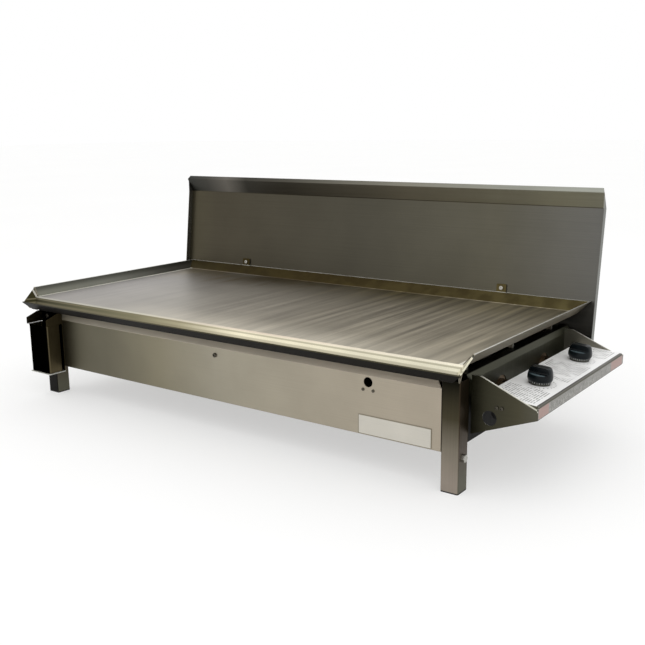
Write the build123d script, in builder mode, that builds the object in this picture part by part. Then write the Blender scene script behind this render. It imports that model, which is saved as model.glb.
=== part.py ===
from build123d import *
import os
from math import atan2, cos, hypot, radians, sin, tan

os.makedirs("parts", exist_ok=True)

# Flat plate barbecue for building into a bench. X runs along the front, Y from front to back, Z up.
# The origin is on the floor, under the middle of everything. All sizes are in millimetres.

# Sheet metal and general fits
body_sheet = 1.5
cover_sheet = 1.2
inside_bend = 1.5
fit_gap = 0.3
running_gap = 0.05
overrun = 10

# Body: four legs, two end panels, a front fascia and a rear panel
body_width = 1132
body_depth = 505
body_base = 87
end_fold_height = 198.5
end_flange_lean = 6
end_flange_rise = 12.5
end_seat_width = 18
base_flange = 15

leg_size = 35
leg_wall = 1.6
leg_corner = 3
leg_rise = 6.5
rear_leg_inset = 80
end_cap_rim = 2.5
end_cap_plug = 15
end_cap_wall = 2

leg_bolt_height = 64
leg_bolt_radius = 4
leg_bolt_length = 16
leg_bolt_flats = 13
leg_bolt_head = 5.3
leg_nut_height = 6.5

fascia_skirt = 14.4
fascia_fold_drop = 10.8
fascia_flange_lean = 8
fascia_flange_rise = 11.8
fascia_flange_cut = 11
fascia_base_return = 13
fascia_side_return = 18
fascia_screw_drop = 15.7
stay_width = 24
stay_foot = 50

lighting_inset = 151.4
lighting_drop = 12.2
lighting_radius = 9.5
lighting_plate_width = 44
lighting_plate_height = 36
rivet_spacing = 22
rivet_drop = 15
rivet_shank = 1.6
rivet_head_radius = 3
rivet_head_height = 1

badge_length = 155
badge_height = 38
badge_sheet = 0.8
badge_inset = 18
badge_rise = 1.6

rear_flange = 12
tray_edge = 20

# Cooking plate with raised guards, a raised back and a fat gutter along the front
plate_sheet = 3
plate_side_overhang = 9
plate_front_overhang = 9
plate_rear_overhang = 11
guard_rise = 20
guard_flare = 16
upstand_lean = 27
guard_front_lean = 3.4
gutter_drop = 26
gutter_back = 18
gutter_front = 13
lip_rise = 17
lip_flare = 9
drain_radius = 6
drain_inset = 30
stiffener_depth = 25
stiffener_width = 6
stiffener_count = 3
stiffener_margin = 70
stiffener_inset = 12

# Splashback, screwed to two tabs on the raised back of the plate
splash_side_overhang = 32
splash_lean = 7
splash_skirt = 109
splash_rise = 197
splash_flange_forward = 17.6
splash_flange_rise = 35.7
splash_hem_back = 7
splash_hem_rise = 8.3
splash_corner_cut = 9
splash_return = 14
tab_inset = 190
tab_width = 24
tab_rise = 18
tab_corner = 3
splash_screw_rise = 8.5

screw_radius = 2.5
screw_head_radius = 4.75
screw_head_height = 2.8
screw_head_edge = 1
screw_recess_radius = 2
screw_recess_depth = 1.5
nut_flats = 8
nut_height = 4
small_screw_radius = 2
small_head_radius = 3.5
small_head_height = 2.2

# Burners, their supports and air shutters
burner_radius = 20
burner_wall = 1.5
burner_drop = 43.5
burner_left_inset = 71
burner_cone_start = 96
burner_cone_length = 30
neck_radius = 17
neck_reach = 20
peg_radius = 5
peg_length = 20
port_width = 2
port_length = 16
port_pitch = 30
port_margin = 60
burner_front_setback = 121
burner_rear_setback = 112
panel_opening_radius = 25
collar_width = 74
collar_height = 58
collar_screw_offset = 31
collar_screw_length = 6
rest_margin = 37
rest_rise = 18.7
rest_foot = 15
rest_setback = 10

shutter_wall = 1.2
shutter_length = 19
shutter_window_length = 12
shutter_window_width = 20
shutter_window_inset = 4
shutter_tab_reach = 9
shutter_tab_width = 8
shutter_tab_inset = 6

# Control box on the right-hand end
box_front = 44
box_rear_margin = 29
box_reach = 124
gusset_base_rise = 14
gusset_edge_drop = 33.5
gusset_shoulder = 19
gusset_shoulder_drop = 2
panel_gap = 24.3
panel_inner_drop = 18.8
lip_top_drop = 26.5
lip_height = 24.5
panel_inner_return = 10
lip_return = 10
lip_overlap = 4
box_hole_offset = 35
box_hole_drop = 62.5
box_hole_radius = 13.5
panel_flange_rise = 2.5
panel_flange_step = 9
panel_flange_shoulder = 15
box_screw_offset = 48
box_screw_spacing = 9.3
box_screw_rise = 9.5
box_screw_length = 7

label_sheet = 0.4
label_inner_margin = 1.5
label_outer_margin = 5.5
strip_height = 18.5
strip_end_gap = 1

# Gas valves, knobs and the pipe that feeds them
knob_x_offset = 74
valve_radius = 13
valve_length = 46
valve_neck_radius = 9
valve_neck_rise = 3
chamber_radius = 8
chamber_top = 4
chamber_depth = 38
plug_length = 14
plug_bottom_gap = 0.1
socket_side = 5.2
socket_depth = 9
plug_port_radius = 2.5
spindle_radius = 4
spindle_side = 5
spindle_tip = 10
spindle_shoulder = 20
spindle_top = 16.2
collar_radius = 6.5
collar_thickness = 2
spring_radius = 5.3
spring_wire = 0.5
spring_height = 14
spring_pitch = 2.8
inlet_arm_radius = 6.5
outlet_arm_radius = 7
outlet_arm_reach = 30
injector_flats = 12
injector_hex_length = 8
injector_tip_length = 10
injector_tip_radius = 2
injector_base_radius = 4
injector_bore = 0.6

bezel_radius = 19
bezel_height = 3.6
bezel_notch = 1
bezel_notch_count = 24
knob_lift = 6.5
knob_foot_radius = 21.5
knob_belly_radius = 23
knob_belly_height = 5.5
knob_crown_radius = 18.5
knob_skirt_height = 13.5
knob_grip_height = 13.5
knob_grip_width = 18
knob_grip_round = 1.2
knob_grip_turn = 0
knob_hollow_radius = 18
knob_hollow_depth = 4
knob_hub_radius = 8

pipe_radius = 10.65
pipe_wall = 2.3
pipe_front_setback = 36
pipe_rear_reach = 24
plug_head = 6
plug_spigot = 10
inlet_flats = 24
inlet_hex_length = 8
inlet_thread_radius = 10.48
inlet_thread_length = 17
inlet_bore_radius = 6

# Fat tin and its holder on the left front leg
tin_width = 68
tin_depth = 38
tin_wall = 1
tin_rim = 2
tin_corner = 4
tin_back_gap = 3.5
holder_side_gap = 3
holder_front_gap = 3
holder_base = 60.5
holder_cheek_gap = 0.6
cheek_height = 26.4
cheek_front_drop = 11
cheek_slope_run = 32
holder_screw_rise = 39.5
holder_screw_drop = 13
holder_screw_length = 8

# Places worked out from the sizes above
half_body = body_width / 2
half_plate = half_body + plate_side_overhang
half_splash = half_plate + splash_side_overhang
plate_depth = plate_front_overhang + body_depth + plate_rear_overhang
seat_height = end_fold_height + end_flange_rise
plate_top = seat_height + stiffener_depth + plate_sheet
guard_top = plate_top + guard_rise
plate_front = -plate_front_overhang
plate_back = plate_front + plate_depth
leg_top = end_fold_height + leg_rise
fascia_base = body_base - fascia_skirt
fascia_fold_height = end_fold_height - fascia_fold_drop
burner_height = end_fold_height - burner_drop
upstand_rim = plate_sheet * hypot(upstand_lean, guard_rise) / guard_rise
splash_foot = plate_back + upstand_lean + upstand_rim + fit_gap
splash_fold_y = splash_foot + splash_rise * tan(radians(splash_lean))
splash_base_height = guard_top - splash_skirt
splash_fold_height = guard_top + splash_rise
box_rear = body_depth - box_rear_margin
box_length = box_rear - box_front
box_hole_height = end_fold_height - box_hole_drop
burner_front_y = box_front + burner_front_setback
burner_rear_y = box_rear - burner_rear_setback
pipe_front = box_front + pipe_front_setback
pipe_rear = box_rear + pipe_rear_reach
lip_x = half_body + box_reach
lip_top_height = end_fold_height - lip_top_drop
lip_base_height = lip_top_height - lip_height
panel_inner_x = half_body + panel_gap
panel_inner_height = end_fold_height - panel_inner_drop
panel_fall = panel_inner_height - lip_top_height
panel_run = lip_x - panel_inner_x
panel_angle = atan2(panel_fall, panel_run)
tray_base = body_base + body_sheet
tray_top = tray_base + cover_sheet
holder_width = tin_width + 2 * holder_side_gap
tin_x = -half_body + holder_width / 2 - holder_side_gap - tin_rim
tin_back = -body_sheet - tin_back_gap
tin_front = tin_back - tin_depth
holder_front = tin_front - holder_front_gap
tin_base = holder_base + body_sheet
tin_height = leg_top - cheek_height - holder_cheek_gap - tin_base
holder_screw_low = holder_base + holder_screw_rise
holder_screw_high = leg_top - holder_screw_drop

# Shift that brings the middle of the whole outline over the origin
reach_right = lip_x + label_sheet
reach_back = splash_fold_y + cover_sheet / cos(radians(splash_lean))
body_x = (half_splash - reach_right) / 2
body_y = -(reach_back + holder_front) / 2

screw_hole = screw_radius + fit_gap
small_hole = small_screw_radius + fit_gap


def level(z):
    """Horizontal plane at height z, seen from above."""
    return Plane(origin=(body_x, body_y, z))


def across(y):
    """Upright plane that faces the front, at distance y behind the front of the legs."""
    return Plane(origin=(body_x, body_y + y, 0), x_dir=(1, 0, 0), z_dir=(0, -1, 0))


def along(x):
    """Upright plane that faces the right-hand end, at distance x from the middle of the body."""
    return Plane(origin=(body_x + x, body_y, 0), x_dir=(0, 1, 0), z_dir=(1, 0, 0))


def outward(side, x):
    """Upright plane on the right (1) or left (-1) side that faces away from the body."""
    return Plane(origin=(body_x + side * x, body_y, 0), x_dir=(0, side, 0), z_dir=(side, 0, 0))


def panel_plane(y):
    """Plane on the top face of the control panel, under the middle of a knob."""
    x = half_body + knob_x_offset
    z = lip_top_height + (lip_x - x) * tan(panel_angle)
    return Plane(
        origin=(body_x + x, body_y + y, z),
        x_dir=(cos(panel_angle), 0, -sin(panel_angle)),
        z_dir=(sin(panel_angle), 0, cos(panel_angle)),
    )


splash_plane = Plane(
    origin=(body_x, body_y + splash_foot, guard_top),
    x_dir=(1, 0, 0),
    z_dir=(0, -cos(radians(splash_lean)), sin(radians(splash_lean))),
)


def folded_section(plane, points, sheet):
    """Section of a folded sheet: its skin follows the points, its metal lies to the right of them."""
    radii = []
    for before, corner, after in zip(points, points[1:], points[2:]):
        run = (corner[0] - before[0], corner[1] - before[1])
        turn = run[0] * (after[1] - corner[1]) - run[1] * (after[0] - corner[0])
        radii.append(inside_bend if turn > 0 else inside_bend + sheet)
    with BuildSketch(plane) as section:
        with BuildLine():
            FilletPolyline(*points, radius=radii)
            offset(amount=sheet, side=Side.RIGHT)
        make_face()
    return section.sketch


def outline(plane, points, growth=0):
    """Flat face with the given corners, grown outwards if wanted."""
    with BuildSketch(plane) as face:
        with BuildLine():
            Polyline(*points, close=True)
        make_face()
        if growth:
            offset(amount=growth, kind=Kind.INTERSECTION)
    return face.sketch


def discs(plane, places, radius):
    """Round faces at the given places."""
    with BuildSketch(plane) as faces:
        with Locations(*places):
            Circle(radius)
    return faces.sketch


def hexagons(plane, places, flats):
    """Six-sided faces, measured across their flats."""
    with BuildSketch(plane) as faces:
        with Locations(*places):
            RegularPolygon(flats / 2, 6, major_radius=False)
    return faces.sketch


def pan_screws(plane, places, radius, head_radius, head_height, length):
    """Pan-head screws with a hexagon recess, heads standing on the plane."""
    with BuildPart() as screws:
        extrude(discs(plane, places, head_radius), amount=head_height)
        head_faces = screws.faces().group_by(lambda face: plane.to_local_coords(face.center()).Z)[-1]
        fillet(head_faces.edges(), screw_head_edge)
        extrude(discs(plane, places, radius), amount=-length)
        extrude(
            hexagons(plane.offset(head_height), places, 2 * screw_recess_radius),
            amount=-screw_recess_depth,
            mode=Mode.SUBTRACT,
        )
    return screws.part


def hex_nuts(plane, places, flats, height, bore):
    """Hexagon nuts standing on the plane."""
    with BuildPart() as nuts:
        extrude(hexagons(plane, places, flats), amount=height)
        extrude(discs(plane, places, bore), amount=height, mode=Mode.SUBTRACT)
    return nuts.part


def hex_bolts(plane, places, radius, flats, head_height, length):
    """Hexagon-head bolts, heads standing on the plane."""
    with BuildPart() as bolts:
        extrude(hexagons(plane, places, flats), amount=head_height)
        extrude(discs(plane, places, radius), amount=-length)
    return bolts.part


# Legs: square tubes. The front pair stands at the corners and carries the end panels
leg_mid = leg_size / 2
front_leg_x = half_body - leg_mid
rear_leg_x = half_body - rear_leg_inset - leg_mid
rear_leg_y = body_depth - leg_mid
leg_places = [
    ("leg_front_left", -1, front_leg_x, leg_mid, leg_top),
    ("leg_front_right", 1, front_leg_x, leg_mid, leg_top),
    ("leg_rear_left", -1, rear_leg_x, rear_leg_y, body_base),
    ("leg_rear_right", 1, rear_leg_x, rear_leg_y, body_base),
]
for leg_name, side, leg_x, leg_y, leg_height in leg_places:
    with BuildPart() as leg:
        with BuildSketch(level(end_cap_rim)):
            with Locations((side * leg_x, leg_y)):
                RectangleRounded(leg_size, leg_size, leg_corner)
                Rectangle(leg_size - 2 * leg_wall, leg_size - 2 * leg_wall, mode=Mode.SUBTRACT)
        extrude(amount=leg_height - end_cap_rim)
        bolt_face = outward(side, leg_x + leg_mid)
        bolt_hole = discs(bolt_face, [(side * leg_y, leg_bolt_height)], leg_bolt_radius + fit_gap)
        extrude(bolt_hole, amount=-leg_mid, mode=Mode.SUBTRACT)
        if leg_name == "leg_front_left":
            holder_places = [(-leg_x, holder_screw_low), (-leg_x, holder_screw_high)]
            extrude(discs(across(0), holder_places, screw_hole), amount=-leg_mid, mode=Mode.SUBTRACT)
    leg.part.label = leg_name
    export_step(leg.part, f"parts/{leg_name}.step")

# Push-in end caps that close the legs and stand on the floor
with BuildPart() as leg_end_caps:
    for leg_name, side, leg_x, leg_y, leg_height in leg_places:
        with BuildSketch(level(0)):
            with Locations((side * leg_x, leg_y)):
                RectangleRounded(leg_size, leg_size, leg_corner)
        extrude(amount=end_cap_rim)
        plug_side = leg_size - 2 * leg_wall - 2 * fit_gap
        with BuildSketch(level(end_cap_rim)):
            with Locations((side * leg_x, leg_y)):
                Rectangle(plug_side, plug_side)
                Rectangle(plug_side - 2 * end_cap_wall, plug_side - 2 * end_cap_wall, mode=Mode.SUBTRACT)
        extrude(amount=end_cap_plug)
leg_end_caps.part.label = "leg_end_caps"
export_step(leg_end_caps.part, "parts/leg_end_caps.step")

# One bolt through the outer wall of each leg, into a nut welded inside the tube
with BuildPart() as leg_bolts:
    for leg_name, side, leg_x, leg_y, leg_height in leg_places:
        bolt_face = outward(side, leg_x + leg_mid)
        place = [(side * leg_y, leg_bolt_height)]
        add(hex_bolts(bolt_face, place, leg_bolt_radius, leg_bolt_flats, leg_bolt_head, leg_bolt_length))
leg_bolts.part.label = "leg_bolts"
export_step(leg_bolts.part, "parts/leg_bolts.step")

with BuildPart() as leg_nuts:
    for leg_name, side, leg_x, leg_y, leg_height in leg_places:
        nut_face = outward(side, leg_x + leg_mid - leg_wall - leg_nut_height)
        place = [(side * leg_y, leg_bolt_height)]
        add(hex_nuts(nut_face, place, leg_bolt_flats, leg_nut_height, leg_bolt_radius + running_gap))
leg_nuts.part.label = "leg_nuts"
export_step(leg_nuts.part, "parts/leg_nuts.step")

# End panels: one sheet each, with a base flange and a leaning top flange whose flat seat carries the plate
burner_rows = [("front", burner_front_y), ("rear", burner_rear_y)]
for side, hand in ((-1, "left"), (1, "right")):
    fold_x = half_body - end_flange_lean
    skin = [
        (side * (fold_x - end_seat_width), seat_height),
        (side * fold_x, seat_height),
        (side * half_body, end_fold_height),
        (side * half_body, body_base),
        (side * (half_body - base_flange), body_base),
    ]
    if side < 0:
        skin.reverse()
    with BuildPart() as end_panel:
        extrude(folded_section(across(leg_size), skin, body_sheet), amount=-(body_depth - leg_size))
        if hand == "right":
            for row_name, row_y in burner_rows:
                opening = discs(along(half_body), [(row_y, burner_height)], panel_opening_radius)
                extrude(opening, amount=-2 * body_sheet, mode=Mode.SUBTRACT)
                screw_row = [
                    (row_y - collar_screw_offset, burner_height),
                    (row_y + collar_screw_offset, burner_height),
                ]
                holes = discs(along(half_body), screw_row, small_hole)
                extrude(holes, amount=-2 * body_sheet, mode=Mode.SUBTRACT)
    end_panel.part.label = f"end_panel_{hand}"
    export_step(end_panel.part, f"parts/end_panel_{hand}.step")

# Rear panel between the end panels
with BuildPart() as rear_panel:
    skin = [
        (body_depth - rear_flange, end_fold_height),
        (body_depth, end_fold_height),
        (body_depth, body_base),
        (body_depth - base_flange, body_base),
    ]
    extrude(folded_section(along(0), skin, body_sheet), amount=half_body - body_sheet - fit_gap, both=True)
    # the corners of its base flange are cut away where the end panels' own flanges lie
    corner_notch = base_flange + fit_gap
    for side in (-1, 1):
        with BuildSketch(level(body_base)):
            with Locations((side * (half_body - corner_notch / 2), body_depth - corner_notch / 2)):
                Rectangle(corner_notch, corner_notch)
        extrude(amount=inside_bend + body_sheet, mode=Mode.SUBTRACT)
rear_panel.part.label = "rear_panel"
export_step(rear_panel.part, "parts/rear_panel.step")

# Heat shield tray on the base flanges, behind the front legs
with BuildPart() as heat_shield:
    tray_half = half_body - body_sheet - inside_bend - fit_gap
    tray_front = leg_size + fit_gap
    tray_rear = body_depth - body_sheet - inside_bend - fit_gap
    edge_top = tray_base + tray_edge
    skin = [(tray_rear, edge_top), (tray_rear, tray_base), (tray_front, tray_base), (tray_front, edge_top)]
    extrude(folded_section(along(0), skin, cover_sheet), amount=tray_half, both=True)
heat_shield.part.label = "heat_shield"
export_step(heat_shield.part, "parts/heat_shield.step")

# Front fascia between the legs, its top flange leaning back and mitred at both ends
fascia_half = half_body - leg_size
lighting_x = fascia_half - lighting_inset
lighting_height = fascia_fold_height - lighting_drop
lighting_place = [(lighting_x, lighting_height)]
rivet_hole = rivet_shank + running_gap
rivet_places = [
    (lighting_x - rivet_spacing / 2, lighting_height - rivet_drop),
    (lighting_x + rivet_spacing / 2, lighting_height - rivet_drop),
]
fascia_screw_height = fascia_fold_height - fascia_screw_drop
fascia_screw_place = [(0, fascia_screw_height)]
with BuildPart() as front_fascia:
    flange_top = fascia_fold_height + fascia_flange_rise
    skin = [
        (fascia_base_return, fascia_base),
        (0, fascia_base),
        (0, fascia_fold_height),
        (fascia_flange_lean, flange_top),
    ]
    extrude(folded_section(along(0), skin, cover_sheet), amount=fascia_half, both=True)
    for side in (-1, 1):
        mitre = [
            (side * fascia_half, fascia_fold_height),
            (side * fascia_half, flange_top + overrun),
            (side * (fascia_half - fascia_flange_cut), flange_top + overrun),
            (side * (fascia_half - fascia_flange_cut), flange_top),
        ]
        mitre_depth = fascia_flange_lean + 2 * overrun
        extrude(outline(across(-overrun), mitre), amount=-mitre_depth, mode=Mode.SUBTRACT)
        # the ends fold back along the legs
        return_height = fascia_fold_height - fascia_base - 2 * inside_bend - 2 * cover_sheet
        with BuildSketch(across(cover_sheet)):
            with Locations((side * (fascia_half - cover_sheet / 2), (fascia_fold_height + fascia_base) / 2)):
                Rectangle(cover_sheet, return_height)
        extrude(amount=-fascia_side_return)
    extrude(discs(across(0), lighting_place, lighting_radius), amount=-2 * cover_sheet, mode=Mode.SUBTRACT)
    extrude(discs(across(0), rivet_places, rivet_hole), amount=-2 * cover_sheet, mode=Mode.SUBTRACT)
    extrude(discs(across(0), fascia_screw_place, screw_hole), amount=-2 * cover_sheet, mode=Mode.SUBTRACT)
front_fascia.part.label = "front_fascia"
export_step(front_fascia.part, "parts/front_fascia.step")

# Stay behind the middle of the fascia, standing on the heat shield
with BuildPart() as fascia_stay:
    stay_top = fascia_screw_height + stay_width / 2
    foot_height = tray_base + tray_edge + fit_gap
    skin = [(cover_sheet, stay_top), (cover_sheet, foot_height), (stay_foot, foot_height)]
    skin.reverse()
    extrude(folded_section(along(0), skin, body_sheet), amount=stay_width / 2, both=True)
    stay_depth = cover_sheet + 2 * body_sheet
    extrude(discs(across(0), fascia_screw_place, screw_hole), amount=-stay_depth, mode=Mode.SUBTRACT)
fascia_stay.part.label = "fascia_stay"
export_step(fascia_stay.part, "parts/fascia_stay.step")

fascia_nut_back = cover_sheet + body_sheet + nut_height
fascia_screw = pan_screws(
    across(0),
    fascia_screw_place,
    screw_radius,
    screw_head_radius,
    screw_head_height,
    fascia_nut_back,
)
fascia_screw.label = "fascia_screw"
export_step(fascia_screw, "parts/fascia_screw.step")

nut_bore = screw_radius + running_gap
fascia_nut = hex_nuts(across(fascia_nut_back), fascia_screw_place, nut_flats, nut_height, nut_bore)
fascia_nut.label = "fascia_nut"
export_step(fascia_nut, "parts/fascia_nut.step")

# Plate riveted behind the lighting hole, so that the hole has a firm edge for a gas lighter
with BuildPart() as lighting_plate:
    with BuildSketch(across(cover_sheet)):
        with Locations((lighting_x, lighting_height - rivet_drop / 2)):
            Rectangle(lighting_plate_width, lighting_plate_height)
    extrude(amount=-cover_sheet)
    extrude(discs(across(0), lighting_place, lighting_radius), amount=-3 * cover_sheet, mode=Mode.SUBTRACT)
    extrude(discs(across(0), rivet_places, rivet_hole), amount=-3 * cover_sheet, mode=Mode.SUBTRACT)
lighting_plate.part.label = "lighting_plate"
export_step(lighting_plate.part, "parts/lighting_plate.step")

with BuildPart() as lighting_rivets:
    extrude(discs(across(0), rivet_places, rivet_head_radius), amount=rivet_head_height)
    extrude(discs(across(0), rivet_places, rivet_shank), amount=-2 * cover_sheet)
    extrude(discs(across(2 * cover_sheet), rivet_places, rivet_head_radius), amount=-rivet_head_height)
lighting_rivets.part.label = "lighting_rivets"
export_step(lighting_rivets.part, "parts/lighting_rivets.step")

# Blank badge plate near the right-hand end of the fascia
with BuildPart() as badge_plate:
    with BuildSketch(across(0)):
        badge_x = fascia_half - badge_inset - badge_length / 2
        with Locations((badge_x, fascia_base + badge_rise + badge_height / 2)):
            RectangleRounded(badge_length, badge_height, badge_rise)
    extrude(amount=badge_sheet)
badge_plate.part.label = "badge_plate"
export_step(badge_plate.part, "parts/badge_plate.step")

# Gutter: from the front of the plate down to a valley and up to the rounded lip
valley = (plate_front - gutter_back, plate_top - gutter_drop)
lip = (valley[0] - gutter_front, valley[1] + lip_rise)
guard_front_base = plate_front + plate_sheet
corner_base = Vector(body_x + half_plate, body_y + guard_front_base, plate_top)
corner_top = corner_base + Vector(guard_flare, guard_front_lean, guard_rise)
corner_lip = Vector(body_x + half_plate + lip_flare, body_y + lip[0], lip[1])
closure_normal = (corner_top - corner_base).cross(corner_lip - corner_base).normalized()
valley_away = Vector(corner_base.X, body_y + valley[0], valley[1]) - corner_base
corner_valley = corner_base + valley_away - Vector(valley_away.dot(closure_normal) / closure_normal.X, 0, 0)
closure_plane = Plane(origin=corner_base, x_dir=corner_lip - corner_base, z_dir=closure_normal)
mirror_plane = along(0)

with BuildPart() as gutter_end:
    corner_points = [corner_base, corner_top, corner_lip, corner_valley]
    flat_points = [closure_plane.to_local_coords(point) for point in corner_points]
    extrude(outline(closure_plane, [(point.X, point.Y) for point in flat_points]), amount=plate_sheet)

with BuildPart() as gutter:
    skin = [lip, valley, (plate_front, plate_top), (plate_front + 2 * plate_sheet, plate_top)]
    extrude(folded_section(along(0), skin, plate_sheet), amount=half_plate + guard_flare, both=True)
    # both ends are cut along the closing sheets
    split(bisect_by=closure_plane.offset(plate_sheet), keep=Keep.BOTTOM)
    far_plane = closure_plane.offset(plate_sheet)
    far_origin = Vector(2 * body_x - far_plane.origin.X, far_plane.origin.Y, far_plane.origin.Z)
    far_normal = Vector(-far_plane.z_dir.X, far_plane.z_dir.Y, far_plane.z_dir.Z)
    split(bisect_by=Plane(origin=far_origin, z_dir=far_normal), keep=Keep.BOTTOM)

# Space over the cooking plate, between its guards and its raised back
width_section = [
    (-half_plate, plate_top),
    (half_plate, plate_top),
    (half_plate + guard_flare, guard_top),
    (-half_plate - guard_flare, guard_top),
]
depth_section = [
    (guard_front_base, plate_top),
    (plate_back, plate_top),
    (plate_back + upstand_lean, guard_top),
    (guard_front_base + guard_front_lean, guard_top),
]
with BuildPart() as cooking_space:
    extrude(outline(across(-plate_depth), width_section), amount=-3 * plate_depth)
    extrude(outline(along(0), depth_section), amount=half_splash, both=True, mode=Mode.INTERSECT)

# Cooking plate: the sheet lies round that space, open at the top and along the front
tab_offset = half_plate - tab_inset
with BuildPart() as hotplate:
    extrude(outline(across(-plate_depth), width_section, plate_sheet), amount=-3 * plate_depth)
    extrude(outline(along(0), depth_section, plate_sheet), amount=half_splash, both=True, mode=Mode.INTERSECT)
    split(bisect_by=level(guard_top), keep=Keep.BOTTOM)
    front_normal = (0, guard_rise, -guard_front_lean)
    split(bisect_by=Plane(origin=corner_base, x_dir=(1, 0, 0), z_dir=front_normal), keep=Keep.TOP)
    add(cooking_space.part, mode=Mode.SUBTRACT)
    add(gutter.part)
    add(gutter_end.part)
    add(gutter_end.part.mirror(mirror_plane))
    drain = discs(level(valley[1]), [(drain_inset - half_plate, valley[0])], drain_radius)
    extrude(drain, amount=2 * plate_sheet, both=True, mode=Mode.SUBTRACT)
    # two tabs stand on the raised back for the splashback screws
    with BuildSketch(splash_plane):
        with Locations((-tab_offset, 0), (tab_offset, 0)):
            RectangleRounded(tab_width, 2 * tab_rise, tab_corner)
        Rectangle(2 * half_plate, 2 * tab_rise + overrun, align=(Align.CENTER, Align.MAX), mode=Mode.SUBTRACT)
        with Locations((-tab_offset, -plate_sheet / 4), (tab_offset, -plate_sheet / 4)):
            Rectangle(tab_width, plate_sheet / 2)
    extrude(amount=plate_sheet)
    splash_screw_places = [(-tab_offset, splash_screw_rise), (tab_offset, splash_screw_rise)]
    extrude(discs(splash_plane, splash_screw_places, screw_hole), amount=2 * plate_sheet, mode=Mode.SUBTRACT)
hotplate.part.label = "hotplate"
export_step(hotplate.part, "parts/hotplate.step")

# Bars welded under the plate, which stand on the seats of the end panels
with BuildPart() as plate_stiffeners:
    stiffener_half = half_body - end_flange_lean - stiffener_inset
    stiffener_pitch = (plate_back - plate_front - 2 * stiffener_margin) / (stiffener_count - 1)
    with BuildSketch(level(seat_height)):
        for index in range(stiffener_count):
            with Locations((0, plate_front + stiffener_margin + index * stiffener_pitch)):
                Rectangle(2 * stiffener_half, stiffener_width)
    extrude(amount=stiffener_depth)
plate_stiffeners.part.label = "plate_stiffeners"
export_step(plate_stiffeners.part, "parts/plate_stiffeners.step")

# Splashback: a leaning sheet with a forward flange and a hem along its top, and folded sides
with BuildPart() as splashback:
    sheet_base = (splash_foot - splash_skirt * tan(radians(splash_lean)), splash_base_height)
    sheet_fold = (splash_fold_y, splash_fold_height)
    flange_edge = (splash_fold_y - splash_flange_forward, splash_fold_height + splash_flange_rise)
    hem_edge = (flange_edge[0] + splash_hem_back, flange_edge[1] + splash_hem_rise)
    skin = [sheet_base, sheet_fold, flange_edge, hem_edge]
    extrude(folded_section(along(0), skin, cover_sheet), amount=half_splash, both=True)
    # the folded sides run up to the flange
    return_rise = splash_return * splash_flange_rise / splash_flange_forward
    return_corners = [
        sheet_base,
        sheet_fold,
        (splash_fold_y - splash_return, splash_fold_height + return_rise),
        (splash_fold_y - splash_return, splash_fold_height),
        (sheet_base[0] - splash_return, splash_base_height),
    ]
    for side in (-1, 1):
        side_plane = outward(side, half_splash)
        extrude(outline(side_plane, [(side * y, z) for y, z in return_corners]), amount=-cover_sheet)
        corner = [
            (side * half_splash, hem_edge[1] - splash_corner_cut),
            (side * (half_splash + overrun), hem_edge[1] + overrun),
            (side * (half_splash - splash_corner_cut), hem_edge[1] + overrun),
            (side * (half_splash - splash_corner_cut / 2), hem_edge[1]),
        ]
        extrude(outline(across(splash_fold_y + overrun), corner), amount=4 * overrun, mode=Mode.SUBTRACT)
    extrude(discs(splash_plane, splash_screw_places, screw_hole), amount=-2 * cover_sheet, mode=Mode.SUBTRACT)
splashback.part.label = "splashback"
export_step(splashback.part, "parts/splashback.step")

splashback_screws = pan_screws(
    splash_plane.offset(plate_sheet),
    splash_screw_places,
    screw_radius,
    screw_head_radius,
    screw_head_height,
    plate_sheet + cover_sheet + nut_height + screw_recess_depth,
)
splashback_screws.label = "splashback_screws"
export_step(splashback_screws, "parts/splashback_screws.step")

splash_nut_face = splash_plane.offset(-cover_sheet - nut_height)
splashback_nuts = hex_nuts(splash_nut_face, splash_screw_places, nut_flats, nut_height, nut_bore)
splashback_nuts.label = "splashback_nuts"
export_step(splashback_nuts, "parts/splashback_nuts.step")

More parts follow.
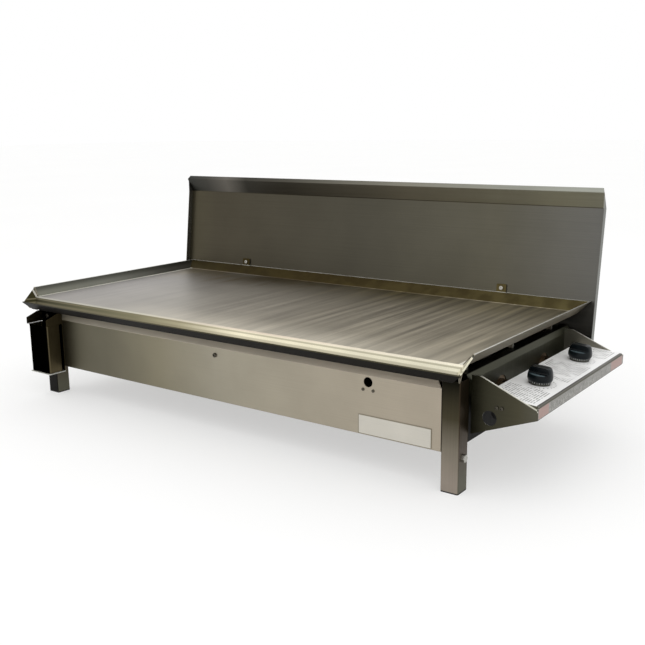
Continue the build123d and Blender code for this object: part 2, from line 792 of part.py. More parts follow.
# Two tube burners along the body, with a closed pegged end on the left and a venturi neck on the right
burner_left = -half_body + burner_left_inset
neck_end = half_body + neck_reach
cone_start = half_body - burner_cone_start
cone_end = cone_start + burner_cone_length
port_count = 1 + int((cone_start - burner_left - 2 * port_margin) / port_pitch)
window_x = neck_end - shutter_window_inset - shutter_window_length / 2
for row_name, row_y in burner_rows:
    axis_plane = Plane(origin=(body_x, body_y + row_y, burner_height), x_dir=(1, 0, 0), z_dir=(0, -1, 0))
    with BuildPart() as burner:
        with BuildSketch(axis_plane):
            with BuildLine():
                Polyline(
                    (burner_left - peg_length, 0),
                    (burner_left - peg_length, peg_radius),
                    (burner_left, peg_radius),
                    (burner_left, burner_radius),
                    (cone_start, burner_radius),
                    (cone_end, neck_radius),
                    (neck_end, neck_radius),
                    (neck_end, neck_radius - burner_wall),
                    (cone_end, neck_radius - burner_wall),
                    (cone_start, burner_radius - burner_wall),
                    (burner_left + burner_wall, burner_radius - burner_wall),
                    (burner_left + burner_wall, 0),
                    close=True,
                )
            make_face()
        revolve(axis=Axis(axis_plane.origin, (1, 0, 0)))
        with BuildSketch(level(burner_height + burner_radius)):
            with Locations(((burner_left + cone_start) / 2, row_y)):
                with GridLocations(port_pitch, port_pitch, port_count, 1):
                    Rectangle(port_width, port_length)
        extrude(amount=-(burner_radius - hypot(burner_radius, port_length) / 2), mode=Mode.SUBTRACT)
        with BuildSketch(level(burner_height)):
            with Locations((window_x, row_y)):
                Rectangle(shutter_window_length, shutter_window_width)
        extrude(amount=burner_radius, both=True, mode=Mode.SUBTRACT)
    burner.part.label = f"burner_{row_name}"
    export_step(burner.part, f"parts/burner_{row_name}.step")

    # Air shutter: a sleeve that turns on the neck and covers its air windows
    with BuildPart() as air_shutter:
        shutter_plane = Plane(
            origin=(body_x + neck_end - shutter_length, body_y + row_y, burner_height),
            x_dir=(0, 1, 0),
            z_dir=(1, 0, 0),
        )
        sleeve_bore = neck_radius + running_gap
        with BuildSketch(shutter_plane):
            Circle(sleeve_bore + shutter_wall)
            Circle(sleeve_bore, mode=Mode.SUBTRACT)
        extrude(amount=shutter_length)
        with BuildSketch(level(burner_height)):
            with Locations((window_x, row_y)):
                Rectangle(shutter_window_length, shutter_window_width)
        extrude(amount=burner_radius, both=True, mode=Mode.SUBTRACT)
        tab_root = sleeve_bore + shutter_wall / 2
        with BuildSketch(shutter_plane.offset(shutter_tab_inset)):
            with Locations((-tab_root, 0)):
                Rectangle(shutter_tab_reach, shutter_wall, align=(Align.MAX, Align.CENTER))
        extrude(amount=shutter_tab_width)
    air_shutter.part.label = f"air_shutter_{row_name}"
    export_step(air_shutter.part, f"parts/air_shutter_{row_name}.step")

# Bracket on the heat shield that holds the pegs of both burners
with BuildPart() as burner_rest:
    rest_x = burner_left - rest_setback + body_sheet
    rest_front = burner_front_y - rest_margin
    rest_length = burner_rear_y + rest_margin - rest_front
    skin = [(rest_x, burner_height + rest_rise), (rest_x, tray_top), (rest_x - rest_foot, tray_top)]
    extrude(folded_section(across(rest_front), skin, body_sheet), amount=-rest_length)
    peg_places = [(row_y, burner_height) for row_name, row_y in burner_rows]
    peg_holes = discs(along(rest_x), peg_places, peg_radius + fit_gap)
    extrude(peg_holes, amount=-2 * body_sheet, mode=Mode.SUBTRACT)
burner_rest.part.label = "burner_rest"
export_step(burner_rest.part, "parts/burner_rest.step")

# Plates inside the right-hand end panel that hold the burner necks
collar_screw_places = []
for row_name, row_y in burner_rows:
    collar_screw_places.append((row_y - collar_screw_offset, burner_height))
    collar_screw_places.append((row_y + collar_screw_offset, burner_height))
with BuildPart() as burner_collars:
    collar_face = along(half_body - body_sheet)
    with BuildSketch(collar_face):
        with Locations(*peg_places):
            Rectangle(collar_width, collar_height)
            Circle(neck_radius + fit_gap, mode=Mode.SUBTRACT)
    extrude(amount=-body_sheet)
    extrude(discs(collar_face, collar_screw_places, small_hole), amount=-2 * body_sheet, mode=Mode.SUBTRACT)
burner_collars.part.label = "burner_collars"
export_step(burner_collars.part, "parts/burner_collars.step")

burner_screws = pan_screws(
    along(half_body),
    collar_screw_places,
    small_screw_radius,
    small_head_radius,
    small_head_height,
    collar_screw_length,
)
burner_screws.label = "burner_screws"
export_step(burner_screws, "parts/burner_screws.step")

# Side gussets of the control box, each with a hole for the gas pipe
gusset_edge_x = lip_x - body_sheet
gusset_top = seat_height - gusset_shoulder_drop
box_screw_height = lip_base_height + box_screw_rise
box_hole_place = [(half_body + box_hole_offset, box_hole_height)]
box_screw_places = [
    (half_body + box_screw_offset, box_screw_height),
    (half_body + box_screw_offset + box_screw_spacing, box_screw_height),
]
gusset_corners = [
    (half_body, body_base + gusset_base_rise),
    (gusset_edge_x, lip_base_height),
    (gusset_edge_x, end_fold_height - gusset_edge_drop),
    (half_body + gusset_shoulder, gusset_top),
    (half_body, gusset_top),
]
for hand, gusset_y in (("front", box_front), ("rear", box_rear - body_sheet)):
    with BuildPart() as gusset:
        extrude(outline(across(gusset_y), gusset_corners), amount=-body_sheet)
        pipe_hole = discs(across(gusset_y), box_hole_place, box_hole_radius)
        extrude(pipe_hole, amount=-2 * body_sheet, mode=Mode.SUBTRACT)
        screw_holes = discs(across(gusset_y), box_screw_places, small_hole)
        extrude(screw_holes, amount=-2 * body_sheet, mode=Mode.SUBTRACT)
    gusset.part.label = f"gusset_{hand}"
    export_step(gusset.part, f"parts/gusset_{hand}.step")

# Control panel: slopes down to an upright lip, with a flange at each end against the gussets
panel_front = box_front + body_sheet
panel_rear = box_rear - body_sheet
with BuildPart() as control_panel:
    skin = [
        (panel_inner_x, panel_inner_height - panel_inner_return),
        (panel_inner_x, panel_inner_height),
        (lip_x, lip_top_height),
        (lip_x, lip_base_height),
        (lip_x - lip_return, lip_base_height),
    ]
    extrude(folded_section(across(panel_front), skin, body_sheet), amount=-(panel_rear - panel_front))
    # the lip runs past the gussets and covers their outer edges
    lip_straight = inside_bend + body_sheet
    with BuildSketch(along(gusset_edge_x)):
        with Locations(((box_front + box_rear) / 2, (lip_top_height + lip_base_height) / 2)):
            Rectangle(box_length + 2 * lip_overlap, lip_height - 2 * lip_straight)
    extrude(amount=body_sheet)
    flange_base = lip_base_height + panel_flange_rise
    flange_corners = [
        (panel_inner_x - panel_flange_step, flange_base),
        (gusset_edge_x, flange_base),
        (gusset_edge_x, lip_top_height - body_sheet / 2),
        (panel_inner_x + body_sheet, panel_inner_height - body_sheet),
        (panel_inner_x - panel_flange_step, flange_base + panel_flange_shoulder),
    ]
    extrude(outline(across(panel_front), flange_corners), amount=-body_sheet)
    extrude(outline(across(panel_rear - body_sheet), flange_corners), amount=-body_sheet)
    extrude(discs(across(box_front), box_screw_places, small_hole), amount=-box_length, mode=Mode.SUBTRACT)
    for row_name, row_y in burner_rows:
        valve_hole = discs(panel_plane(row_y), [(0, 0)], valve_neck_radius + fit_gap)
        extrude(valve_hole, amount=2 * body_sheet, both=True, mode=Mode.SUBTRACT)
control_panel.part.label = "control_panel"
export_step(control_panel.part, "parts/control_panel.step")

with BuildPart() as control_box_screws:
    add(
        pan_screws(
            across(box_front),
            box_screw_places,
            small_screw_radius,
            small_head_radius,
            small_head_height,
            box_screw_length,
        )
    )
    rear_face = Plane(origin=(body_x, body_y + box_rear, 0), x_dir=(-1, 0, 0), z_dir=(0, 1, 0))
    rear_places = [(-place[0], place[1]) for place in box_screw_places]
    add(
        pan_screws(
            rear_face,
            rear_places,
            small_screw_radius,
            small_head_radius,
            small_head_height,
            box_screw_length,
        )
    )
control_box_screws.part.label = "control_box_screws"
export_step(control_box_screws.part, "parts/control_box_screws.step")

# Printed sheets on the control panel and on its lip, left blank
with BuildPart() as control_label:
    label_plane = panel_plane(0)
    inner_edge = (panel_inner_x + label_inner_margin - half_body - knob_x_offset) / cos(panel_angle)
    outer_edge = (lip_x - label_outer_margin - half_body - knob_x_offset) / cos(panel_angle)
    label_length = panel_rear - panel_front - 2 * fit_gap
    with BuildSketch(label_plane):
        with Locations(((inner_edge + outer_edge) / 2, (panel_front + panel_rear) / 2)):
            Rectangle(outer_edge - inner_edge, label_length)
        for row_name, row_y in burner_rows:
            with Locations((0, row_y)):
                Circle(bezel_radius + fit_gap, mode=Mode.SUBTRACT)
    extrude(amount=label_sheet)
control_label.part.label = "control_label"
export_step(control_label.part, "parts/control_label.step")

with BuildPart() as lip_label:
    with BuildSketch(along(lip_x)):
        with Locations(((box_front + box_rear) / 2, (lip_top_height + lip_base_height) / 2)):
            Rectangle(box_length + 2 * lip_overlap - 2 * strip_end_gap, strip_height)
    extrude(amount=label_sheet)
lip_label.part.label = "lip_label"
export_step(lip_label.part, "parts/lip_label.step")

# Gas pipe across the control box, through the hole in the rear gusset
pipe_x = half_body + box_hole_offset
pipe_place = [(pipe_x, box_hole_height)]
with BuildPart() as gas_pipe:
    pipe_length = pipe_rear - pipe_front
    extrude(discs(across(pipe_rear), pipe_place, pipe_radius), amount=pipe_length)
    pipe_bore = discs(across(pipe_rear), pipe_place, pipe_radius - pipe_wall)
    extrude(pipe_bore, amount=pipe_length, mode=Mode.SUBTRACT)
gas_pipe.part.label = "gas_pipe"
export_step(gas_pipe.part, "parts/gas_pipe.step")

spigot_radius = pipe_radius - pipe_wall - running_gap
with BuildPart() as pipe_plug:
    extrude(discs(across(pipe_front), pipe_place, pipe_radius), amount=plug_head)
    extrude(discs(across(pipe_front), pipe_place, spigot_radius), amount=-plug_spigot)
pipe_plug.part.label = "pipe_plug"
export_step(pipe_plug.part, "parts/pipe_plug.step")

# Gas inlet: a threaded stub at the rear end of the pipe
with BuildPart() as gas_inlet:
    extrude(hexagons(across(pipe_rear), pipe_place, inlet_flats), amount=-inlet_hex_length)
    extrude(discs(across(pipe_rear), pipe_place, spigot_radius), amount=plug_spigot)
    stub_end = inlet_hex_length + inlet_thread_length
    extrude(discs(across(pipe_rear), pipe_place, inlet_thread_radius), amount=-stub_end)
    bore = discs(across(pipe_rear - plug_spigot), pipe_place, inlet_bore_radius)
    extrude(bore, amount=-(plug_spigot + stub_end), mode=Mode.SUBTRACT)
gas_inlet.part.label = "gas_inlet"
export_step(gas_inlet.part, "parts/gas_inlet.step")

# One gas valve, injector, plug, spindle, spring, bezel and knob for each burner
for row_name, row_y in burner_rows:
    valve_plane = panel_plane(row_y)
    knob_axis = Axis(valve_plane.origin, valve_plane.z_dir)
    centre = [(0, 0)]
    chamber_floor = valve_plane.offset(-chamber_depth)
    valve_x = half_body + knob_x_offset
    valve_z = lip_top_height + (lip_x - valve_x) * tan(panel_angle)
    outlet_x = valve_x - (valve_z - burner_height) * tan(panel_angle)
    inlet_x = valve_x - (valve_z - box_hole_height) * tan(panel_angle)
    injector_x = outlet_x - outlet_arm_reach

    with BuildPart() as gas_valve:
        valve_seat = valve_plane.offset(-body_sheet)
        extrude(discs(valve_seat, centre, valve_radius), amount=-(valve_length - body_sheet))
        extrude(discs(valve_seat, centre, valve_neck_radius), amount=body_sheet + valve_neck_rise)
        inlet_arm = discs(along(pipe_x), [(row_y, box_hole_height)], inlet_arm_radius)
        extrude(inlet_arm, amount=inlet_x - pipe_x)
        outlet_arm = discs(along(injector_x), [(row_y, burner_height)], outlet_arm_radius)
        extrude(outlet_arm, amount=outlet_arm_reach)
        # the arm stops against the gas pipe
        pipe_seat = discs(across(row_y - valve_radius), pipe_place, pipe_radius + running_gap)
        extrude(pipe_seat, amount=-2 * valve_radius, mode=Mode.SUBTRACT)
        chamber = discs(chamber_floor, centre, chamber_radius)
        extrude(chamber, amount=chamber_depth - chamber_top, mode=Mode.SUBTRACT)
        spindle_bore = discs(chamber_floor, centre, spindle_radius + running_gap)
        extrude(spindle_bore, amount=chamber_depth + 2 * valve_neck_rise, mode=Mode.SUBTRACT)
    gas_valve.part.label = f"gas_valve_{row_name}"
    export_step(gas_valve.part, f"parts/gas_valve_{row_name}.step")

    # Injector that shoots gas into the burner neck
    with BuildPart() as injector:
        injector_place = [(row_y, burner_height)]
        extrude(hexagons(along(injector_x), injector_place, injector_flats), amount=-injector_hex_length)
        tip_root = along(injector_x - injector_hex_length)
        tip_end = along(injector_x - injector_hex_length - injector_tip_length)
        with BuildSketch(tip_root):
            with Locations(*injector_place):
                Circle(injector_base_radius)
        with BuildSketch(tip_end):
            with Locations(*injector_place):
                Circle(injector_tip_radius)
        loft()
        gas_bore = discs(tip_end, injector_place, injector_bore)
        extrude(gas_bore, amount=injector_hex_length + injector_tip_length, mode=Mode.SUBTRACT)
    injector.part.label = f"injector_{row_name}"
    export_step(injector.part, f"parts/injector_{row_name}.step")

    # Plug at the bottom of the valve chamber, turned by the square end of the spindle
    plug_base = chamber_floor.offset(plug_bottom_gap)
    with BuildPart() as valve_plug:
        extrude(discs(plug_base, centre, chamber_radius - running_gap), amount=plug_length)
        with BuildSketch(plug_base.offset(plug_length)):
            Rectangle(socket_side, socket_side, rotation=knob_grip_turn)
        extrude(amount=-socket_depth, mode=Mode.SUBTRACT)
        port_centre = plug_base.offset((plug_length - socket_depth) / 2)
        port_plane = Plane(origin=port_centre.origin, x_dir=valve_plane.z_dir, z_dir=valve_plane.x_dir)
        with BuildSketch(port_plane):
            Circle(plug_port_radius - running_gap)
        extrude(amount=chamber_radius, mode=Mode.SUBTRACT)
    valve_plug.part.label = f"valve_plug_{row_name}"
    export_step(valve_plug.part, f"parts/valve_plug_{row_name}.step")

    # Spindle with a collar that stops it under the top of the chamber
    with BuildPart() as spindle:
        shoulder_plane = valve_plane.offset(-spindle_shoulder)
        extrude(discs(shoulder_plane, centre, spindle_radius), amount=spindle_shoulder + spindle_top)
        collar_top = chamber_top + fit_gap
        extrude(discs(valve_plane.offset(-collar_top), centre, collar_radius), amount=-collar_thickness)
        with BuildSketch(shoulder_plane):
            Rectangle(spindle_side, spindle_side, rotation=knob_grip_turn)
        extrude(amount=-spindle_tip)
    spindle.part.label = f"spindle_{row_name}"
    export_step(spindle.part, f"parts/spindle_{row_name}.step")

    # Return spring under the collar
    spring_top = collar_top + collar_thickness + spring_wire + running_gap
    spring_base = valve_plane.offset(-spring_top - spring_height + 2 * spring_wire)
    with BuildPart() as return_spring:
        with BuildLine():
            coil = Helix(
                pitch=spring_pitch,
                height=spring_height - 2 * spring_wire,
                radius=spring_radius,
                center=spring_base.origin,
                direction=valve_plane.z_dir,
            )
        with BuildSketch(Plane(origin=coil @ 0, z_dir=coil % 0)):
            Circle(spring_wire)
        sweep()
    return_spring.part.label = f"return_spring_{row_name}"
    export_step(return_spring.part, f"parts/return_spring_{row_name}.step")

    # Ribbed bezel nut that clamps the valve neck to the panel
    with BuildPart() as bezel:
        with BuildSketch(valve_plane):
            Circle(bezel_radius)
            Circle(valve_neck_radius + running_gap, mode=Mode.SUBTRACT)
            with PolarLocations(bezel_radius, bezel_notch_count):
                Rectangle(2 * bezel_notch, bezel_notch, mode=Mode.SUBTRACT)
        extrude(amount=bezel_height)
    bezel.part.label = f"bezel_{row_name}"
    export_step(bezel.part, f"parts/bezel_{row_name}.step")

    # Knob: a barrel, hollow below, cut away at both sides of a grip bar across its top
    knob_base = valve_plane.offset(knob_lift)
    knob_top = knob_skirt_height + knob_grip_height
    with BuildPart() as knob:
        with BuildSketch(Plane(origin=knob_base.origin, x_dir=valve_plane.x_dir, z_dir=-valve_plane.y_dir)):
            with BuildLine():
                foot = (knob_foot_radius, 0)
                crown = (knob_crown_radius, knob_top)
                ThreePointArc(foot, (knob_belly_radius, knob_belly_height), crown)
                Polyline(foot, (0, 0), (0, knob_top), crown)
            make_face()
        revolve(axis=knob_axis)
        fillet(knob.edges().filter_by(GeomType.CIRCLE).sort_by(knob_axis)[-1], knob_grip_round)
        grip_turn = radians(knob_grip_turn)
        grip_run = valve_plane.x_dir * cos(grip_turn) + valve_plane.y_dir * sin(grip_turn)
        grip_side = valve_plane.y_dir * cos(grip_turn) - valve_plane.x_dir * sin(grip_turn)
        grip_plane = Plane(origin=knob_base.origin, x_dir=grip_side, z_dir=grip_run)
        half_grip = knob_grip_width / 2
        for side in (-1, 1):
            beside_grip = [
                (side * half_grip, knob_skirt_height),
                (side * half_grip, knob_top - knob_grip_round),
                (side * (half_grip - knob_grip_round), knob_top),
                (side * (half_grip - knob_grip_round), knob_top + overrun),
                (side * (knob_belly_radius + overrun), knob_top + overrun),
                (side * (knob_belly_radius + overrun), knob_skirt_height),
            ]
            reach = knob_belly_radius + overrun
            extrude(outline(grip_plane, beside_grip), amount=reach, both=True, mode=Mode.SUBTRACT)
        with BuildSketch(knob_base):
            Circle(knob_hollow_radius)
            Circle(knob_hub_radius, mode=Mode.SUBTRACT)
        extrude(amount=knob_hollow_depth, mode=Mode.SUBTRACT)
        spindle_socket = discs(knob_base, centre, spindle_radius + running_gap)
        extrude(spindle_socket, amount=spindle_top + running_gap - knob_lift, mode=Mode.SUBTRACT)
    knob.part.label = f"knob_{row_name}"
    export_step(knob.part, f"parts/knob_{row_name}.step")

# Fat tin: an open box with a turned-out rim
with BuildPart() as fat_tin:
    tin_mid = (tin_front + tin_back) / 2
    with BuildSketch(level(tin_base)):
        with Locations((tin_x, tin_mid)):
            RectangleRounded(tin_width, tin_depth, tin_corner)
    extrude(amount=tin_height)
    with BuildSketch(level(tin_base + tin_height)):
        with Locations((tin_x, tin_mid)):
            RectangleRounded(tin_width + 2 * tin_rim, tin_depth + 2 * tin_rim, tin_corner + tin_rim)
    extrude(amount=-tin_wall)
    with BuildSketch(level(tin_base + tin_wall)):
        with Locations((tin_x, tin_mid)):
            RectangleRounded(tin_width - 2 * tin_wall, tin_depth - 2 * tin_wall, tin_corner - tin_wall)
    extrude(amount=tin_height, mode=Mode.SUBTRACT)
fat_tin.part.label = "fat_tin"
export_step(fat_tin.part, "parts/fat_tin.step")

# Tin holder: back plate on the leg, shelf under the tin, and two cheeks above its rim
with BuildPart() as tin_holder:
    holder_top = leg_top
    with BuildSketch(across(0)):
        with Locations((tin_x, (holder_base + holder_top) / 2)):
            Rectangle(holder_width, holder_top - holder_base)
    extrude(amount=body_sheet)
    with BuildSketch(level(holder_base)):
        with Locations((tin_x, 0)):
            Rectangle(holder_width, -holder_front, align=(Align.CENTER, Align.MAX))
    extrude(amount=body_sheet)
    fillet(tin_holder.edges().filter_by(Axis.Z).sort_by(Axis.Y)[:2], tin_corner)
    cheek_base = tin_base + tin_height + holder_cheek_gap
    cheek_corners = [
        (0, cheek_base),
        (holder_front, cheek_base),
        (holder_front, holder_top - cheek_front_drop),
        (holder_front + cheek_slope_run, holder_top),
        (0, holder_top),
    ]
    for side in (-1, 1):
        cheek_plane = outward(side, side * tin_x + holder_width / 2)
        extrude(outline(cheek_plane, [(side * y, z) for y, z in cheek_corners]), amount=-body_sheet)
    holder_holes = [(-front_leg_x, holder_screw_low), (-front_leg_x, holder_screw_high)]
    extrude(discs(across(0), holder_holes, screw_hole), amount=2 * body_sheet, mode=Mode.SUBTRACT)
tin_holder.part.label = "tin_holder"
export_step(tin_holder.part, "parts/tin_holder.step")

tin_holder_screws = pan_screws(
    across(-body_sheet), holder_holes, screw_radius, screw_head_radius, screw_head_height, holder_screw_length
)
tin_holder_screws.label = "tin_holder_screws"
export_step(tin_holder_screws, "parts/tin_holder_screws.step")
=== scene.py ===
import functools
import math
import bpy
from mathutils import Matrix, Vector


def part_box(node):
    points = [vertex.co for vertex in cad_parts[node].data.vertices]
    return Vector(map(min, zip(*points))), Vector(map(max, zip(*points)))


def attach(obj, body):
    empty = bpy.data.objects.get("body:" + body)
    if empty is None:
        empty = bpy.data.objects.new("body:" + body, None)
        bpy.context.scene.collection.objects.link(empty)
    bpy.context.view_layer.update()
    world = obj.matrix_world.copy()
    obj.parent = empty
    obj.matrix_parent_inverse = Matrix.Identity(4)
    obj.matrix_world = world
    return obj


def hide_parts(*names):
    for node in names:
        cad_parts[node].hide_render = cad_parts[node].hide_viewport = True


bl_info = {
    "name": "Flat plate barbecue",
    "version": (1, 1, 0),
    "blender": (4, 5, 0),
    "location": "View3D > Sidebar > Barbecue",
    "description": "Finishes, small pieces and a plain studio for a built-in flat plate barbecue",
    "category": "Object",
}

import bpy
from mathutils import Matrix, Vector

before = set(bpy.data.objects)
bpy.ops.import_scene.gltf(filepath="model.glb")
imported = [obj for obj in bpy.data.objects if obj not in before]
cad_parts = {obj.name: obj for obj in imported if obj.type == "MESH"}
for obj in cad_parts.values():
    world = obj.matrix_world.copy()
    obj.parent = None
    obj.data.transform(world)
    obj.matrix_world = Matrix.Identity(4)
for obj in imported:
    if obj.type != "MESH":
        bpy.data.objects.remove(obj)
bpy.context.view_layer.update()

# The middle of the body's front on the floor, from which places on the body are measured
BODY_X = -0.0417
BODY_Y = -0.26387

# Half widths of the sheets that run across the front
HALF_BODY = 0.566
HALF_PLATE = 0.575
HALF_SPLASH = 0.607
HALF_FASCIA = 0.531

# Heights of the cooking surface and of the side guards' top edge
PLATE_TOP = 0.239
GUARD_TOP = 0.259

# Where a bend starts and ends: along Y on the plate, and upwards on the splashback and the fascia
RAISED_BACK = (BODY_Y + 0.5165, BODY_Y + 0.5175)
GUTTER_BEND = (BODY_Y - 0.0085, BODY_Y - 0.0105)
GUTTER_LIP = (BODY_Y - 0.0375, BODY_Y - 0.0385)
SPLASH_FLANGE = (0.4565, 0.4590)
FASCIA_FLANGE = (0.1868, 0.1885)

# The front legs end and the end panels start here
PANEL_START = (BODY_Y + 0.035, BODY_Y + 0.0352)

# The control panel slopes down from its inner edge to its lip
PANEL_INNER_X = 0.5903
PANEL_INNER_Z = 0.1797
LIP_X = 0.690
LIP_Z = 0.172
PANEL_SLOPE = math.atan2(PANEL_INNER_Z - LIP_Z, LIP_X - PANEL_INNER_X)

# The knobs stand square to the panel, with their feet lifted clear of it
KNOB_X = 0.640
KNOB_ROWS = {"front": 0.165, "rear": 0.364}
KNOB_LIFT = 0.0040
KNOB_FOOT_X = BODY_X + KNOB_X + KNOB_LIFT * math.sin(PANEL_SLOPE)
KNOB_FOOT_Z = (
    LIP_Z + (LIP_X - KNOB_X) * math.tan(PANEL_SLOPE) + KNOB_LIFT * math.cos(PANEL_SLOPE)
)

# The gussets' inner faces, and their top edge, which runs down from its shoulder to the lip
GUSSET_FACES = (BODY_Y + 0.0462, BODY_Y + 0.4738)
SHOULDER_X = 0.585
SHOULDER_Z = 0.209
EDGE_END_X = 0.6885
EDGE_END_Z = 0.165
EDGE_FALL = (SHOULDER_Z - EDGE_END_Z) / (EDGE_END_X - SHOULDER_X)

# The camera's own directions, which were solved from the edges of the object
CAMERA_RIGHT = Vector((0.8073259, 0.58999799, -0.0112814))
CAMERA_UP = Vector((-0.11768218, 0.17970556, 0.97665594))

# Names that this file gives to kinds of node, each with the settings that it then has
NODE_KINDS = {
    "Plus": ("Math", {"operation": "ADD"}),
    "Minus": ("Math", {"operation": "SUBTRACT"}),
    "Times": ("Math", {"operation": "MULTIPLY"}),
    "Greater": ("Math", {"operation": "MAXIMUM"}),
    "Unsigned": ("Math", {"operation": "ABSOLUTE"}),
    "Root": ("Math", {"operation": "SQRT"}),
    "Sine": ("Math", {"operation": "SINE"}),
    "Angle": ("Math", {"operation": "ARCTAN2"}),
    "Fraction": ("Math", {"operation": "FRACT"}),
    "Zigzag": ("Math", {"operation": "PINGPONG"}),
    "Range": ("MapRange", {}),
    "Fade": ("MapRange", {"interpolation_type": "SMOOTHSTEP"}),
    "Ramp": ("ValToRGB", {}),
    "Mixed": ("Mix", {"data_type": "RGBA"}),
    "Tinted": ("Mix", {"data_type": "RGBA", "blend_type": "MULTIPLY"}),
}


def linear(text):
    """Linear colour of an sRGB hex value."""
    parts = [int(text[i : i + 2], 16) / 255 for i in (1, 3, 5)]
    return tuple(c / 12.92 if c <= 0.04045 else ((c + 0.055) / 1.055) ** 2.4 for c in parts) + (1.0,)


def length_choice(name, description, default):
    """A size in metres that a user can change."""
    return bpy.props.FloatProperty(name=name, description=description, default=default, unit="LENGTH")


def colour_choice(name, description, default):
    """A colour that a user can change, given by its hex value."""
    return bpy.props.FloatVectorProperty(
        name=name, description=description, default=linear(default), size=4, min=0, max=1, subtype="COLOR"
    )


class BarbecueSizes(bpy.types.PropertyGroup):
    """Sizes of the small pieces."""

    knob_radius: length_choice("Knob radius", "Widest radius of a control knob", 0.023)
    knob_height: length_choice("Knob height", "From the foot of a knob to the top of its grip", 0.0278)
    skirt_height: length_choice(
        "Skirt height", "From the foot of a knob to the ledge beside its grip", 0.0170
    )
    grip_width: length_choice("Grip width", "Width of the bar across a knob", 0.018)
    weld_width: length_choice("Weld width", "Width of the weld beads at the corners of the plate", 0.004)
    brush_pitch: length_choice(
        "Brush pitch", "Distance between the brush lines that show in the sheet metal", 0.0016
    )


class BarbecueColours(bpy.types.PropertyGroup):
    """Colours of the fittings and the labels."""

    zinc: colour_choice("Zinc", "Bolts, nuts, springs and bright screws", "#b9b7b0")
    # painted shade: a darker copy of the screw steel
    shaded_steel: colour_choice("Shaded steel", "Dull screws and rivets", "#57534a")
    # painted shade: the brass is dark, as it sits in the shade inside the body
    brass: colour_choice("Brass", "Valves, spindles, injectors and gas inlet", "#5d4b2f")
    # painted shade: the bezels are dark grey, standing for the shadow under the knobs
    bezel: colour_choice("Bezel", "Rings round the knobs", "#55554f")
    badge: colour_choice("Badge", "Plate at the right of the fascia", "#cbc7bd")
    badge_border: colour_choice("Badge border", "Border of that plate", "#8d8778")
    label_marks: colour_choice("Label marks", "Rules and dashes on the control label", "#6f6f6c")


class BarbecueStudio(bpy.types.PropertyGroup):
    """The camera and the light."""

    camera_place: bpy.props.FloatVectorProperty(
        name="Camera place",
        description="Where the camera stands",
        default=(1.18570, -1.55609, 0.62694),
        subtype="TRANSLATION",
    )
    focal_length: bpy.props.FloatProperty(
        name="Focal length",
        description="Lens, in millimetres on a 36 mm sensor",
        default=49.09,
        unit="CAMERA",
    )
    world_strength: bpy.props.FloatProperty(
        name="Soft light", description="Strength of the even light from all round", default=1.0
    )


def feed(socket, value):
    """Gives an input a number, a colour, or a link from a socket or from a node's first live output."""
    if isinstance(value, bpy.types.Node):
        value = next(output for output in value.outputs if output.enabled)
    if isinstance(value, bpy.types.NodeSocket):
        socket.id_data.links.new(value, socket)
    else:
        socket.default_value = linear(value) if isinstance(value, str) else value


def add_node(tree, kind, *values, inputs=None, stops=(), **settings):
    """Adds one node. Values go to its live inputs in order, inputs to those that they name, and stops are a
    ramp's places and colours."""
    kind, usual = NODE_KINDS.get(kind, (kind, {}))
    made = tree.nodes.new(f"ShaderNode{kind}")
    for key, value in {**usual, **settings}.items():
        setattr(made, key, value)
    for socket, value in zip([socket for socket in made.inputs if socket.enabled], values):
        feed(socket, value)
    for key, value in (inputs or {}).items():
        feed(made.inputs[key], value)
    for index, (place, colour) in enumerate(stops):
        # a new ramp has two stops
        if index >= 2:
            made.color_ramp.elements.new(1.0)
        made.color_ramp.elements[index].position = place
        made.color_ramp.elements[index].color = linear(colour)
    return made


def new_material(name):
    """Material with its surface shader, as (material, add, shader), where add is add_node on its tree."""
    material = bpy.data.materials.new(name)
    material.use_nodes = True
    tree = material.node_tree
    tree.nodes.clear()
    shader = add_node(tree, "BsdfPrincipled")
    add_node(tree, "OutputMaterial", shader)
    return material, functools.partial(add_node, tree), shader


def split(add, output):
    """The X, Y and Z of the place (Object) or of the facing direction (Normal) on the piece."""
    return tuple(add("SeparateXYZ", add("TexCoord").outputs[output]).outputs)


def streaks(add, along, pitch, length, detail=3.0):
    """Noise whose cells are one pitch wide and, along one axis, one length long."""
    scale = [1 / (length if axis == along else pitch) for axis in "XYZ"]
    place = add("TexCoord").outputs["Object"]
    stretched = add("Mapping", inputs={"Vector": place, "Scale": scale})
    return add("TexNoise", inputs={"Vector": stretched, "Scale": 1.0, "Detail": detail})


def cloud(add, size, detail=4.0):
    """Soft patches of about the given size."""
    place = add("TexCoord").outputs["Object"]
    return add("TexNoise", inputs={"Vector": place, "Scale": 1 / size, "Detail": detail})


def joined(add, kind, parts):
    """Several values put together, two at a time, by one kind of node."""
    return functools.reduce(functools.partial(add, kind), parts)


def between(add, value, low, high, soft=0.001):
    """One between two places, falling to nought outside them."""
    return add("Times", add("Fade", value, low - soft, low), add("Fade", value, high + soft, high))


def brushed(add, shader, colour, along, roughness, depth=0.12, pitch=None):
    """Brushed sheet: fine lines along one axis vary the tone, the roughness and the bump."""
    # real brush lines are a few tenths of a millimetre apart, too fine to show, so these are coarser
    pitch = pitch or bpy.context.scene.barbecue_sizes.brush_pitch
    lines = streaks(add, along, pitch, 150 * pitch)
    tone = add("Range", lines, 0.3, 0.7, 1 - depth, 1 + depth)
    haze = add("Fade", cloud(add, 0.14), 0.3, 0.7, 0.94, 1.05)
    both = add("Times", tone, haze)
    grey = add("CombineColor", both, both, both)
    feed(shader.inputs["Base Color"], add("Tinted", 1.0, colour, grey))
    rough = add("Range", lines, 0.3, 0.7, roughness - 0.06, roughness + 0.08)
    feed(shader.inputs["Roughness"], rough)
    bump = add("Bump", inputs={"Strength": 0.12, "Distance": 0.0002, "Height": lines})
    feed(shader.inputs["Normal"], bump)
    feed(shader.inputs["Metallic"], 1.0)


